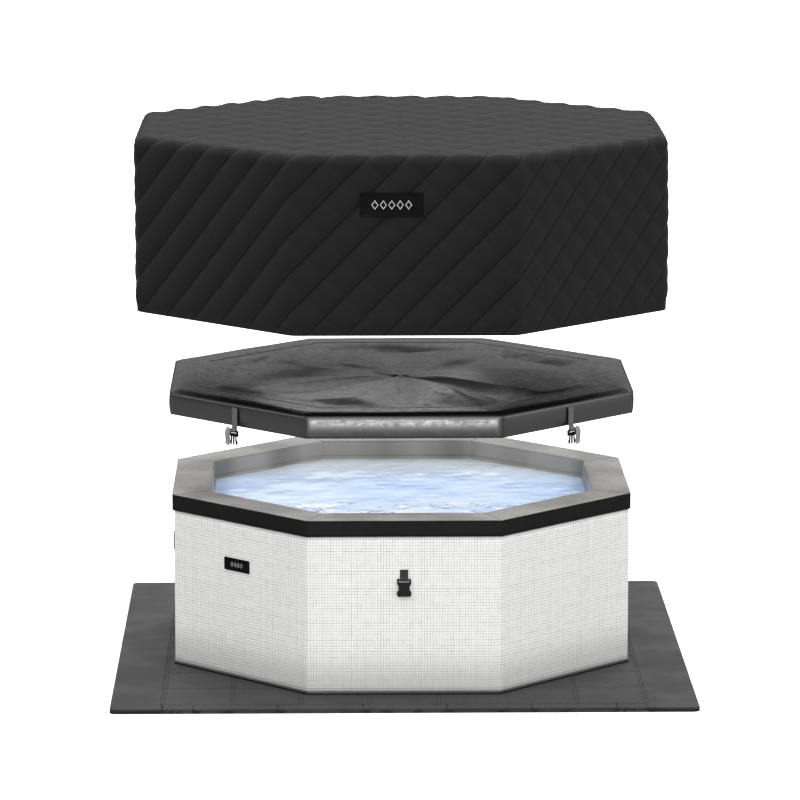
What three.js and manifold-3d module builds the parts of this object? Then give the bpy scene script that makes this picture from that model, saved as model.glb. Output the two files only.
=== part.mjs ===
// Octagonal foam-walled hot tub with its inflatable lid, quilted over-jacket and interlocking floor mat.
// Millimetres, +Z up. The origin is the centre of the mat's underside, and the front face looks along -Y.
// At rest the lid and the jacket hang above the tub, and their slides lower them onto the rim.

import * as THREE from "three";
import { mergeVertices } from "three/addons/utils/BufferGeometryUtils.js";
import Module from "manifold-3d";

const wasm = await Module();
wasm.setup();

// ---------------------------------------------------------------- driving dimensions

const GAP = 0.3; // clearance between pieces that touch on the real object
const SIDES = 8;
const FACE_TURN = (2 * Math.PI) / SIDES;
const HALF_TURN = Math.tan(FACE_TURN / 2);

const MAT_SIZE = 2300; // square floor mat
const MAT_THICK = 18;
const TILE = 270; // one mat tile, across its sides
const TILE_COLUMNS = 7;
const TILE_ROWS = 8;
const MAT_CORNER_R = 26;

const RIM_ACROSS = 1850; // across flats, over the rim pad
const RIM_TALL = 65;
const RIM_WIDE = 157.5;
const RIM_OVERHANG = 7;
const TUB_TALL = 700; // mat top to rim top
const SKIN = 2; // woven sleeve and liner thickness
const PANEL_SLACK = 0.5; // foam panel to skin
const FLOOR_PAD_THICK = 30;
const PIPING = 12; // height of the welt round the wall's foot
const PIPING_OUT = 5;
const BUBBLE_RING = 30; // width and height of the air channel
const AIR_HOLE_R = 3;
const AIR_HOLE_X = 150;

const LID_ACROSS = 1876;
const LID_TALL = 100;
const LID_SKIN = 3;
const LID_LIFT = 328; // lid underside above the rim at rest

const JACKET_ACROSS = 2126;
const JACKET_TALL = 700;
const QUILT = 22;
const JACKET_LIFT = 324; // jacket hem above the lid top at rest
const HEM_TALL = 20;
const HEM_PROUD = 2;

const PORT_Z = 268; // water ports, above the mat's underside
const PORT_X = 150;
const PORT_BORE_R = 24;
const PORT_TUBE_R = 30;
const PORT_SPIGOT_R = 34;
const PORT_FLANGE_R = 48;
const AIR_PORT_X = 250;
const AIR_PORT_Z = 420;
const AIR_SCALE = 0.62; // the air port is the water port made smaller
const DRAIN_Z = 118;
const DRAIN_TUBE_R = 13;
const DRAIN_BORE_R = 9;

const WEBBING = 34; // width of the straps
const WEBBING_THICK = 2.4;
const BUCKLE_HINGE_Z = 480; // bar of the tub buckles
const BUCKLE_THICK = 12;

// ---------------------------------------------------------------- levels and radii that follow

const SLEEVE_ACROSS = RIM_ACROSS - 2 * RIM_OVERHANG;
const BASIN_ACROSS = RIM_ACROSS - 2 * RIM_WIDE;
const LINER_OUTER = BASIN_ACROSS + 2 * SKIN;
const MAT_TOP = MAT_THICK + GAP;
const RIM_TOP = MAT_THICK + TUB_TALL;
const RIM_BOTTOM = RIM_TOP - RIM_TALL;
const WALL_TOP = RIM_BOTTOM - GAP;
const PAD_BOTTOM = MAT_TOP + SKIN + GAP;
const LINER_BOTTOM = PAD_BOTTOM + FLOOR_PAD_THICK + GAP;
const BASIN_FLOOR = LINER_BOTTOM + SKIN;
const LID_BOTTOM = RIM_TOP + LID_LIFT;
const LID_TOP = LID_BOTTOM + LID_TALL;
const JACKET_BOTTOM = LID_TOP + JACKET_LIFT;
const JACKET_TOP = JACKET_BOTTOM + JACKET_TALL;
const SLEEVE_FACE = SLEEVE_ACROSS / 2;
const BASIN_FACE = BASIN_ACROSS / 2;
const LID_FACE = LID_ACROSS / 2;

// ---------------------------------------------------------------- materials

const plain = (color, roughness, metalness = 0) =>
  new THREE.MeshStandardMaterial({ color, roughness, metalness });

const LOOK = {
  mat: plain(0x4c4c4c, 0.9),
  foam: plain(0xd8d4c8, 0.95),
  weave: plain(0xeeeeec, 0.7),
  rim: plain(0x2a2a2a, 0.5),
  liner: plain(0x8d8b86, 0.4),
  leather: plain(0x3a3a3b, 0.45),
  quilt: plain(0x333334, 0.85),
  webbing: plain(0x77787a, 0.8),
  hard: plain(0x141414, 0.4),
  fitting: plain(0xb9babb, 0.35),
  filter: plain(0xe9edf0, 0.8),
};

// ---------------------------------------------------------------- solids: joining and cutting

function toSolid(geometry) {
  const bare = new THREE.BufferGeometry();
  const flat = geometry.index ? geometry.toNonIndexed() : geometry;
  bare.setAttribute("position", flat.getAttribute("position").clone());
  const merged = mergeVertices(bare, 1e-4);
  const vertProperties = merged.attributes.position.array;
  const triVerts = new Uint32Array(merged.index.array);
  return new wasm.Manifold(new wasm.Mesh({ numProp: 3, vertProperties, triVerts }));
}

function toGeometry(solid) {
  const mesh = solid.getMesh();
  const geometry = new THREE.BufferGeometry();
  geometry.setAttribute("position", new THREE.BufferAttribute(mesh.vertProperties, 3));
  geometry.setIndex(new THREE.BufferAttribute(mesh.triVerts, 1));
  return geometry.toNonIndexed();
}

const cut = (body, ...tools) =>
  toGeometry(tools.reduce((left, tool) => left.subtract(toSolid(tool)), toSolid(body)));

const join = (...pieces) =>
  toGeometry(pieces.map((piece) => toSolid(piece)).reduce((all, piece) => all.add(piece)));

// ---------------------------------------------------------------- basic forms

function octagon(across) {
  const half = across / 2;
  const shape = new THREE.Shape();
  for (let k = 0; k < SIDES; k++) {
    const angle = FACE_TURN * (k + 0.5);
    const radius = half / Math.cos(FACE_TURN / 2);
    shape[k ? "lineTo" : "moveTo"](radius * Math.cos(angle), radius * Math.sin(angle));
  }
  shape.closePath();
  return shape;
}

function raise(shape, bottom, height, curveSegments = 6) {
  const geometry = new THREE.ExtrudeGeometry(shape, { depth: height, bevelEnabled: false, curveSegments });
  return geometry.translate(0, 0, bottom);
}

const prism = (across, bottom, height) => raise(octagon(across), bottom, height);

function ring(outer, inner, bottom, height) {
  const shape = octagon(outer);
  shape.holes.push(octagon(inner));
  return raise(shape, bottom, height);
}

const box = (x0, x1, y0, y1, z0, z1) =>
  new THREE.BoxGeometry(x1 - x0, y1 - y0, z1 - z0).translate((x0 + x1) / 2, (y0 + y1) / 2, (z0 + z1) / 2);

// a round solid about a line along Y; profile lists [y, radius] and closes on itself
function turned(profile, x, z, segments = 20) {
  const points = profile.map(([y, r]) => new THREE.Vector2(r, y));
  if (THREE.ShapeUtils.area(points) < 0) points.reverse();
  points.push(points[0].clone());
  return new THREE.LatheGeometry(points, segments).translate(x, 0, z);
}

const rod = (x, z, radius, y0, y1, segments = 20) =>
  turned([[y0, 0], [y0, radius], [y1, radius], [y1, 0]], x, z, segments);

// a round bar along X, centred on x = 0
const bar = (y, z, radius, length, segments = 12) =>
  new THREE.CylinderGeometry(radius, radius, length, segments).rotateZ(Math.PI / 2).translate(0, y, z);

// ---------------------------------------------------------------- scene graph

const hotTub = new THREE.Group();

function place(name, geometry, material, parent = hotTub) {
  const mesh = new THREE.Mesh(geometry, material.clone());
  mesh.name = name;
  parent.add(mesh);
  return mesh;
}

// a group turned so that its -Y side looks out of face number k, counted anticlockwise from the front
function facing(k) {
  const group = new THREE.Group();
  group.rotation.z = k * FACE_TURN;
  hotTub.add(group);
  return group;
}

const SQUARE_FACES = { front: 0, right: 2, back: 4, left: 6 };
const DIAGONAL_FACES = { right_front: 1, right_back: 3, left_back: 5, left_front: 7 };

// ---------------------------------------------------------------- floor mat

const TOOTH = { root: 22, tip: 28, long: 16 }; // dovetail between two mat strips
const SEAM = 0.6;
const GRID_X = (TILE * TILE_COLUMNS) / 2;
const GRID_Y = (TILE * TILE_ROWS) / 2;

// the seam along one row of tiles, left to right, with one dovetail in the middle of each tile
function seamPoints(y, slack) {
  const points = [];
  for (let column = 0; column < TILE_COLUMNS; column++) {
    const x = -GRID_X + TILE * (column + 0.5);
    points.push([x - TOOTH.root + slack, y], [x - TOOTH.tip + slack, y + TOOTH.long]);
    points.push([x + TOOTH.tip - slack, y + TOOTH.long], [x + TOOTH.root - slack, y]);
  }
  return points;
}

function matStrip(name, lowerEdge, upperEdge) {
  const outline = [...lowerEdge, ...upperEdge.reverse()];
  const shape = new THREE.Shape(outline.map(([x, y]) => new THREE.Vector2(x, y)));
  place(name, raise(shape, 0, MAT_THICK), LOOK.mat);
}

const straight = (y) => [[-GRID_X, y], [GRID_X, y]];
const socketEdge = (y) => [[-GRID_X, y + SEAM / 2], ...seamPoints(y + SEAM / 2, 0), [GRID_X, y + SEAM / 2]];
const toothEdge = (y) => [[-GRID_X, y - SEAM / 2], ...seamPoints(y - SEAM / 2, SEAM), [GRID_X, y - SEAM / 2]];

matStrip("mat_edge_front", straight(-MAT_SIZE / 2), toothEdge(-GRID_Y));
for (let row = 0; row < TILE_ROWS; row++) {
  const y = -GRID_Y + TILE * row;
  matStrip(`mat_row_${row + 1}`, socketEdge(y), toothEdge(y + TILE));
}
matStrip("mat_edge_back", socketEdge(GRID_Y), straight(MAT_SIZE / 2));

for (const [name, side] of [["mat_edge_left", -1], ["mat_edge_right", 1]]) {
  const inner = GRID_X + SEAM;
  const outer = MAT_SIZE / 2;
  const shape = new THREE.Shape();
  shape.moveTo(inner, -outer);
  shape.lineTo(outer - MAT_CORNER_R, -outer);
  shape.absarc(outer - MAT_CORNER_R, -outer + MAT_CORNER_R, MAT_CORNER_R, -Math.PI / 2, 0);
  shape.absarc(outer - MAT_CORNER_R, outer - MAT_CORNER_R, MAT_CORNER_R, 0, Math.PI / 2);
  shape.lineTo(inner, outer);
  const strip = raise(shape, 0, MAT_THICK);
  place(name, side > 0 ? strip : strip.rotateZ(Math.PI), LOOK.mat);
}

// ---------------------------------------------------------------- tub: panels, skins and rim

const PANEL_INNER = LINER_OUTER / 2 + PANEL_SLACK;
const PANEL_OUTER = SLEEVE_FACE - SKIN - PANEL_SLACK;
const MITRE_GAP = 0.4;
const DRILL_FROM = BASIN_FACE - 60;
const DRILL_TO = SLEEVE_FACE + 80;

// tools that cut the three round ports and the drain through the back wall
const wallHoles = [
  [-PORT_X, PORT_Z, PORT_TUBE_R],
  [PORT_X, PORT_Z, PORT_TUBE_R],
  [AIR_PORT_X, AIR_PORT_Z, PORT_TUBE_R * AIR_SCALE],
  [0, DRAIN_Z, DRAIN_TUBE_R + 1],
].map(([x, z, radius]) => rod(x, z, radius + GAP, DRILL_FROM, DRILL_TO));

function wallPanel() {
  const inner = PANEL_INNER * HALF_TURN - MITRE_GAP;
  const outer = PANEL_OUTER * HALF_TURN - MITRE_GAP;
  const shape = new THREE.Shape();
  shape.moveTo(-outer, -PANEL_OUTER);
  shape.lineTo(outer, -PANEL_OUTER);
  shape.lineTo(inner, -PANEL_INNER);
  shape.lineTo(-inner, -PANEL_INNER);
  shape.closePath();
  return raise(shape, PAD_BOTTOM, WALL_TOP - PAD_BOTTOM);
}

for (let k = 0; k < SIDES; k++) {
  const turnedPanel = wallPanel().rotateZ(k * FACE_TURN);
  const panel = k === SQUARE_FACES.back ? cut(turnedPanel, ...wallHoles) : turnedPanel;
  place(`wall_panel_${k + 1}`, panel, LOOK.foam);
}
place("floor_pad", prism(2 * (PANEL_INNER - PANEL_SLACK), PAD_BOTTOM, FLOOR_PAD_THICK), LOOK.foam);

const sleeveHollow = prism(SLEEVE_ACROSS - 2 * SKIN, MAT_TOP + SKIN, TUB_TALL);
const sleeveBlock = prism(SLEEVE_ACROSS, MAT_TOP, WALL_TOP - MAT_TOP);
place("outer_sleeve", cut(sleeveBlock, sleeveHollow, ...wallHoles), LOOK.weave);

const linerHollow = prism(BASIN_ACROSS, BASIN_FLOOR, TUB_TALL);
const linerBlock = prism(LINER_OUTER, LINER_BOTTOM, WALL_TOP - LINER_BOTTOM);
place("liner", cut(linerBlock, linerHollow, ...wallHoles), LOOK.liner);

place("rim_pad", ring(RIM_ACROSS, BASIN_ACROSS, RIM_BOTTOM, RIM_TALL), LOOK.rim);
const pipingRing = ring(SLEEVE_ACROSS + 2 * PIPING_OUT, SLEEVE_ACROSS + 2 * GAP, MAT_TOP, PIPING);
place("bottom_piping", pipingRing, LOOK.hard);

// the bubble ring lies along the foot of the basin wall, with two air holes on each side
function bubbleRing() {
  const outer = BASIN_ACROSS - 2 * PANEL_SLACK;
  const bottom = BASIN_FLOOR + GAP;
  const holeDepth = 12;
  const holes = [];
  for (let k = 0; k < SIDES; k++) {
    for (const x of [-AIR_HOLE_X, AIR_HOLE_X]) {
      const hole = new THREE.CylinderGeometry(AIR_HOLE_R, AIR_HOLE_R, 2 * holeDepth, 6).rotateX(Math.PI / 2);
      holes.push(hole.translate(x, -(outer - BUBBLE_RING) / 2, bottom + BUBBLE_RING).rotateZ(k * FACE_TURN));
    }
  }
  return cut(ring(outer, outer - 2 * BUBBLE_RING, bottom, BUBBLE_RING), ...holes);
}
place("bubble_ring", bubbleRing(), LOOK.liner);

// ---------------------------------------------------------------- tub: label plate

const TUB_LABEL = { wide: 140, tall: 52, thick: 2, x: -15, z: 480 };

function labelPlate(label, face) {
  const y = -face - GAP;
  return box(label.x - label.wide / 2, label.x + label.wide / 2, y - label.thick, y,
    label.z - label.tall / 2, label.z + label.tall / 2);
}
place("tub_label", labelPlate(TUB_LABEL, SLEEVE_FACE), LOOK.hard, facing(DIAGONAL_FACES.left_front));

// ---------------------------------------------------------------- tub: ports and drain

const PORT_OUT = 52; // spigot length outside the wall
const FLANGE_THICK = 7;
const NUT_LONG = 12;
const NUT_CHAMFER = 5;

function portBody(scale) {
  const out = SLEEVE_FACE + GAP;
  const inside = BASIN_FACE - NUT_LONG;
  const bore = PORT_BORE_R * scale;
  const tube = PORT_TUBE_R * scale;
  const flange = PORT_FLANGE_R * scale;
  const spigot = PORT_SPIGOT_R * scale;
  return [[inside, bore], [inside, tube - 1], [out, tube - 1], [out, flange], [out + FLANGE_THICK, flange],
    [out + FLANGE_THICK, spigot], [out + PORT_OUT, spigot], [out + PORT_OUT, bore]];
}

function portNut(scale) {
  const face = BASIN_FACE - GAP;
  const hole = PORT_TUBE_R * scale - 0.5;
  const rim = PORT_FLANGE_R * scale;
  return [[face - NUT_LONG, hole], [face - NUT_LONG, rim - NUT_CHAMFER], [face - NUT_CHAMFER, rim],
    [face, rim], [face, hole]];
}

place("suction_fitting", turned(portBody(1), -PORT_X, PORT_Z), LOOK.fitting);
place("return_fitting", turned(portBody(1), PORT_X, PORT_Z), LOOK.fitting);
place("air_fitting", turned(portBody(AIR_SCALE), AIR_PORT_X, AIR_PORT_Z), LOOK.fitting);
place("suction_nut", turned(portNut(1), -PORT_X, PORT_Z), LOOK.fitting);
place("return_nut", turned(portNut(1), PORT_X, PORT_Z), LOOK.fitting);

const FILTER_LONG = 100;
const FILTER_CAP_R = 53;
const FILTER_CAP_LONG = 8;
const FILTER_MEDIA_R = 49;
const FILTER_CORE_R = 20;

// the cartridge from its open end at the nut to its closed end in the basin
function filterBody() {
  const open = BASIN_FACE - GAP - NUT_LONG - GAP;
  const openCap = open - FILTER_CAP_LONG;
  const closed = open - FILTER_LONG;
  const closedCap = closed + FILTER_CAP_LONG;
  return [[open, FILTER_CORE_R], [open, FILTER_CAP_R], [openCap, FILTER_CAP_R], [openCap, FILTER_MEDIA_R],
    [closedCap, FILTER_MEDIA_R], [closedCap, FILTER_CAP_R], [closed, FILTER_CAP_R], [closed, 0],
    [closedCap, 0], [closedCap, FILTER_CORE_R]];
}
place("filter_cartridge", turned(filterBody(), -PORT_X, PORT_Z, 28), LOOK.filter);

const DRAIN_OUT = 30;
const DRAIN_FLANGE_R = 26;
const DRAIN_SPOUT_R = 15;
const drainFace = SLEEVE_FACE + GAP;

function drainBody() {
  const inside = BASIN_FACE - 4;
  const step = drainFace + 5;
  const end = drainFace + DRAIN_OUT;
  return [[inside, DRAIN_BORE_R], [inside, DRAIN_TUBE_R], [drainFace, DRAIN_TUBE_R],
    [drainFace, DRAIN_FLANGE_R], [step, DRAIN_FLANGE_R], [step, DRAIN_SPOUT_R],
    [end, DRAIN_SPOUT_R], [end, DRAIN_BORE_R]];
}
place("drain_valve", turned(drainBody(), 0, DRAIN_Z), LOOK.fitting);

const CAP_LONG = 28;
const CAP_WALL = 5;

function capBody() {
  const mouth = drainFace + 8;
  const end = mouth + CAP_LONG;
  const hollow = DRAIN_SPOUT_R + 1;
  return [[mouth, hollow], [mouth, hollow + CAP_WALL], [end, hollow + CAP_WALL], [end, 0],
    [end - CAP_WALL, 0], [end - CAP_WALL, hollow]];
}
place("drain_cap", turned(capBody(), 0, DRAIN_Z), LOOK.hard);

// ---------------------------------------------------------------- buckles: both halves

const TAB_OUT = 8; // buckle bar, out from the wall
const LOOP_R = 7;
const BAR_R = 3;

// stitched webbing patch with a loop at its foot that holds the buckle's bar
function webbingTab(out, z, tall) {
  const patch = box(-WEBBING / 2, WEBBING / 2, -GAP - WEBBING_THICK, -GAP, z, z + tall);
  const loop = join(patch, bar(-out, z, LOOP_R, WEBBING));
  return cut(loop, bar(-out, z, LOOP_R - WEBBING_THICK + 0.2, WEBBING + 2));
}

// the socket half: a bar in two arms, a waisted shell and a mouth for the prongs at the foot
function socketHalf(out, z) {
  const half = [[20, -11], [20, 4], [27, 4], [27, -15], [20.5, -25], [20.5, -40], [28.5, -51],
    [28.5, -60], [23, -66]];
  const left = half.map(([x, up]) => [-x, up]).reverse();
  const outline = [...half, ...left].map(([x, up]) => new THREE.Vector2(x, up));
  const shell = raise(new THREE.Shape(outline), 0, BUCKLE_THICK).rotateX(Math.PI / 2)
    .translate(0, -out + BUCKLE_THICK / 2, z);
  const mouth = box(-17, 17, -out - 3, -out + 3, z - 70, z - 22);
  const windows = box(-40, 40, -out - 3, -out + 3, z - 50, z - 28);
  return join(cut(shell, mouth, windows), bar(-out, z, BAR_R, 46));
}

// the prong half: a ladder bar frame, a centre guide and two springy side prongs with barbs
function prongHalf(y, top) {
  const frame = box(-26, 26, y - 3, y + 3, top - 24, top);
  const slot = box(-18.5, 18.5, y - 4, y + 4, top - 15, top - 5.5);
  const guide = box(-3.5, 3.5, y - 2.5, y + 2.5, top - 56, top - 22);
  const prong = [[9, -22], [15, -22], [15.5, -39], [22, -42], [21, -50], [16, -58], [13, -58], [10, -40]];
  const prongs = [1, -1].map((side) => {
    const outline = new THREE.Shape(prong.map(([x, up]) => new THREE.Vector2(side * x, up)));
    return raise(outline, 0, 5).rotateX(Math.PI / 2).translate(0, y + 2.5, top);
  });
  return join(cut(frame, slot), guide, ...prongs);
}

for (const [where, k] of Object.entries(SQUARE_FACES)) {
  const face = facing(k);
  const wall = new THREE.Group();
  wall.position.y = -SLEEVE_FACE;
  face.add(wall);
  place(`buckle_tab_${where}`, webbingTab(TAB_OUT, BUCKLE_HINGE_Z, 40), LOOK.webbing, wall);
  place(`tub_buckle_${where}`, socketHalf(TAB_OUT, BUCKLE_HINGE_Z), LOOK.hard, wall);
}

// ---------------------------------------------------------------- inflatable lid

const BLADDER_WALL = 3;
const VALVE_Z = LID_BOTTOM + LID_TALL / 2;
const VALVE_R = 10;
const VALVE_CAP_R = 19;
const VALVE_DEEP = 12;
const bandBottom = LID_BOTTOM + LID_SKIN + GAP;
const bandTall = LID_TALL - 2 * (LID_SKIN + GAP);
const bladderAcross = LID_ACROSS - 2 * LID_SKIN - 1;
const valveHole = rod(0, VALVE_Z, VALVE_R + 1, DRILL_FROM, DRILL_TO, 16);

place("lid_base", prism(LID_ACROSS, LID_BOTTOM, LID_SKIN), LOOK.leather);
place("lid_top", prism(LID_ACROSS, LID_TOP - LID_SKIN, LID_SKIN), LOOK.leather);
place("lid_side_band", cut(ring(LID_ACROSS, LID_ACROSS - 2 * LID_SKIN, bandBottom, bandTall), valveHole),
  LOOK.leather);
const airAcross = bladderAcross - 2 * BLADDER_WALL;
const airSpace = prism(airAcross, bandBottom + BLADDER_WALL, bandTall - 2 * BLADDER_WALL);
place("lid_bladder", cut(prism(bladderAcross, bandBottom, bandTall), airSpace, valveHole), LOOK.hard);

const valveProfile = [[LID_FACE - VALVE_DEEP, 0], [LID_FACE - VALVE_DEEP, VALVE_R], [LID_FACE + GAP, VALVE_R],
  [LID_FACE + GAP, VALVE_CAP_R], [LID_FACE + 5, VALVE_CAP_R], [LID_FACE + 5, 0]];
place("lid_valve_cap", turned(valveProfile, 0, VALVE_Z, 16), LOOK.hard);

const STRAP_TOP = LID_BOTTOM + 76;
const STRAP_END = LID_BOTTOM - 18; // bar of the prong half
const STRAP_OUT = 8;

for (const [where, k] of Object.entries(DIAGONAL_FACES)) {
  const side = new THREE.Group();
  side.position.y = -LID_FACE;
  facing(k).add(side);
  place(`lid_strap_${where}`, webbingTab(STRAP_OUT, STRAP_END, STRAP_TOP - STRAP_END), LOOK.webbing, side);
  const prong = join(prongHalf(-STRAP_OUT, STRAP_END + 3.5), bar(-STRAP_OUT, STRAP_END, 2.6, 40));
  place(`strap_buckle_${where}`, prong, LOOK.hard, side);
}

// ---------------------------------------------------------------- quilted jacket

const skirtBottom = JACKET_BOTTOM + HEM_TALL + GAP;
const skirtTop = JACKET_TOP - QUILT - GAP;
const hemOuter = JACKET_ACROSS + 2 * HEM_PROUD;
const hemInner = JACKET_ACROSS - 2 * QUILT - 2 * HEM_PROUD;
const JACKET_LABEL = { wide: 244, tall: 94, thick: 2, x: -50, z: JACKET_TOP - 0.27 * JACKET_TALL };

place("jacket_top", prism(JACKET_ACROSS, JACKET_TOP - QUILT, QUILT), LOOK.quilt);
place("jacket_skirt", ring(JACKET_ACROSS, JACKET_ACROSS - 2 * QUILT, skirtBottom, skirtTop - skirtBottom),
  LOOK.quilt);
place("jacket_hem", ring(hemOuter, hemInner, JACKET_BOTTOM, HEM_TALL), LOOK.quilt);
place("jacket_label", labelPlate(JACKET_LABEL, JACKET_ACROSS / 2), LOOK.hard, facing(SQUARE_FACES.front));

export default hotTub;
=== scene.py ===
"""Looks for the octagonal hot tub kit: woven tub, inflatable lid, quilted jacket and floor mat.

Everything is in metres in the CAD frame: +Z up, origin under the middle of the mat, front face towards -Y.
Octagonal pieces are lofts: a profile of (distance from the axis to a face, height) swept round an octagon.
Turned and moulded fittings are drawn in millimetres and scaled when they are made.
"""

import math

import bpy
import numpy as np
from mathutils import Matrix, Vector
from mathutils.geometry import tessellate_polygon


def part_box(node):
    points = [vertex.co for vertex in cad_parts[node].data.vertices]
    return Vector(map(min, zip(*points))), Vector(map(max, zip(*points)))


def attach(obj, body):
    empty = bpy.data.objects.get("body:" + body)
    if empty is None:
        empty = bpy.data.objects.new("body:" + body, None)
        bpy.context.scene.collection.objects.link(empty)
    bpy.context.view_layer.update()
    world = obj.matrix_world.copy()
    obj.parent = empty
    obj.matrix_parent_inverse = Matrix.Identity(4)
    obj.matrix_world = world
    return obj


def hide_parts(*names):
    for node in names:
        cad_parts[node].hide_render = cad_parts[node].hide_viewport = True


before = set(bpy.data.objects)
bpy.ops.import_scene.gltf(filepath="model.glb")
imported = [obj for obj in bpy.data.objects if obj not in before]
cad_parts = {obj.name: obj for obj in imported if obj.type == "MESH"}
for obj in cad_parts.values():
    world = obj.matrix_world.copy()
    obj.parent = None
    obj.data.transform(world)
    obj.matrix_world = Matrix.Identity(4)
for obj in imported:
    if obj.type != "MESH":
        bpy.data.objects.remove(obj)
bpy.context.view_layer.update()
MM = 0.001
TURN = 2 * math.pi
SIDES = 8
FACE_TURN = TURN / SIDES
HALF_TAN = math.tan(FACE_TURN / 2)

# ------------------------------------------------------------------ sizes, read from the frame


def half_across(node):
    """From the axis to a node's flat face."""
    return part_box(node)[1].x


def levels(node):
    low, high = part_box(node)
    return low.z, high.z


RIM_LOW, RIM_TOP = levels("rim_pad")
RIM_HALF = half_across("rim_pad")
SLEEVE_HALF = half_across("outer_sleeve")
SLEEVE_LOW, SLEEVE_TOP = levels("outer_sleeve")
BASIN_HALF = half_across("liner") - 2 * MM
WATER_LEVEL = RIM_TOP - 78 * MM
LID_HALF = half_across("lid_top")
LID_LOW = levels("lid_base")[0]
LID_TOP = levels("lid_top")[1]
JACKET_HALF = half_across("jacket_top")
JACKET_LOW = levels("jacket_hem")[0]
QUILT_LOW, JACKET_TOP = levels("jacket_top")
MAT_TOP = levels("mat_row_1")[1]
MAT_HALF = half_across("mat_edge_right")
SQUARE_FACES = {"front": 0, "right": 2, "back": 4, "left": 6}
DIAGONAL_FACES = {"right_front": 1, "right_back": 3, "left_back": 5, "left_front": 7}

# ------------------------------------------------------------------ camera, floor and light

CAMERA_DISTANCE = 18.5
CAMERA_RISE = math.radians(10.1)
CAMERA_SIDE = math.radians(-1.0)
CAMERA_LENS = 203
LOOK_AT = Vector((0.0, 0.0, 1.032))
FLOOR_REACH, FLOOR_DROP = 150, 1 * MM
FLOOR_WHITE, FLOOR_BOUNCE = 0.95, 0.22  # what the camera sees, and what the floor sends back to the object
SKY_LOW, SKY_HIGH = 0.35, 2.9  # the light tent's brightness at the horizon and overhead
LEFT_LOSS = 0.85  # how much darker the tent is on the left near the ground


def link(thing):
    bpy.context.scene.collection.objects.link(thing)
    return thing


def aim_along(thing, direction):
    thing.rotation_euler = direction.to_track_quat("-Z", "Y").to_euler()


def add_camera():
    data = bpy.data.cameras.new("camera")
    data.lens = CAMERA_LENS
    data.sensor_width = 36
    data.clip_end = 500
    camera = link(bpy.data.objects.new("camera", data))
    away = Vector((math.sin(CAMERA_SIDE) * math.cos(CAMERA_RISE),
                   -math.cos(CAMERA_SIDE) * math.cos(CAMERA_RISE), math.sin(CAMERA_RISE)))
    camera.location = LOOK_AT + CAMERA_DISTANCE * away
    aim_along(camera, -away)
    bpy.context.scene.camera = camera


def add_softbox(name, place, aim, size, power, body=None):
    """A lamp that stands still, or one that moves with a body."""
    data = bpy.data.lights.new(name, "AREA")
    data.shape = "RECTANGLE"
    data.size, data.size_y = size
    data.energy = power
    lamp = link(bpy.data.objects.new(name, data))
    lamp.location = place
    lamp.visible_camera = False
    aim_along(lamp, Vector(aim) - Vector(place))
    if body:
        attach(lamp, body)


class Nodes:
    """Builds a node tree in small steps. A value is a number, a colour or another node's output."""

    def __init__(self, tree):
        self.tree = tree

    def node(self, kind, **inputs):
        made = self.tree.nodes.new(kind)
        for name, value in inputs.items():
            self.feed(made.inputs[name.replace("_", " ")], value)
        return made

    def feed(self, socket, value):
        if isinstance(value, bpy.types.NodeSocket):
            self.tree.links.new(value, socket)
        else:
            socket.default_value = value

    def split(self, where):
        return self.node("ShaderNodeSeparateXYZ", Vector=where).outputs

    def math(self, operation, a, b=0.0):
        made = self.node("ShaderNodeMath")
        made.operation = operation
        self.feed(made.inputs[0], a)
        self.feed(made.inputs[1], b)
        return made.outputs[0]

    def times(self, a, b):
        return self.math("MULTIPLY", a, b)

    def ramp(self, value, low, high, to_low=0.0, to_high=1.0):
        made = self.node("ShaderNodeMapRange")
        made.interpolation_type = "SMOOTHSTEP"
        for socket, number in zip(made.inputs, (value, low, high, to_low, to_high)):
            self.feed(socket, number)
        return made.outputs[0]


def add_world():
    """A light tent: bright overhead, dim at the horizon, and open on the left near the ground."""
    world = bpy.data.worlds.new("studio")
    bpy.context.scene.world = world
    world.use_nodes = True
    tent = Nodes(world.node_tree)
    back = tent.tree.nodes["Background"]
    back.inputs["Color"].default_value = (1, 1, 1, 1)
    direction = tent.split(tent.node("ShaderNodeTexCoord").outputs["Generated"])
    sky = tent.ramp(direction["Z"], 0.0, 0.9, SKY_LOW, SKY_HIGH)
    opening = tent.times(tent.ramp(direction["X"], -0.25, -0.85), tent.ramp(direction["Z"], 0.6, 0.15))
    kept = tent.math("SUBTRACT", 1.0, tent.times(opening, LEFT_LOSS))
    tent.feed(back.inputs["Strength"], tent.times(kept, sky))


def add_floor():
    mesh = bpy.data.meshes.new("floor")
    corners = [(-1, -1), (1, -1), (1, 1), (-1, 1)]
    points = [(FLOOR_REACH * x, FLOOR_REACH * y, -FLOOR_DROP) for x, y in corners]
    mesh.from_pydata(points, [], [(0, 1, 2, 3)])
    floor = link(bpy.data.objects.new("floor", mesh))
    paint = Paint("studio_floor", grey(FLOOR_WHITE), 1.0).set(Specular_IOR_Level=0.0)
    # the floor looks white but bounces little light back up, as if it lay well below the object
    seen = paint.node("ShaderNodeLightPath").outputs["Is Camera Ray"]
    paint.color(paint.mix(seen, grey(FLOOR_BOUNCE), grey(FLOOR_WHITE)))
    paint.feed(paint.shader.inputs["Emission Color"], (1, 1, 1, 1))
    paint.feed(paint.shader.inputs["Emission Strength"], paint.times(seen, 0.3))
    mesh.materials.append(paint.material)


# ------------------------------------------------------------------ materials


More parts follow.
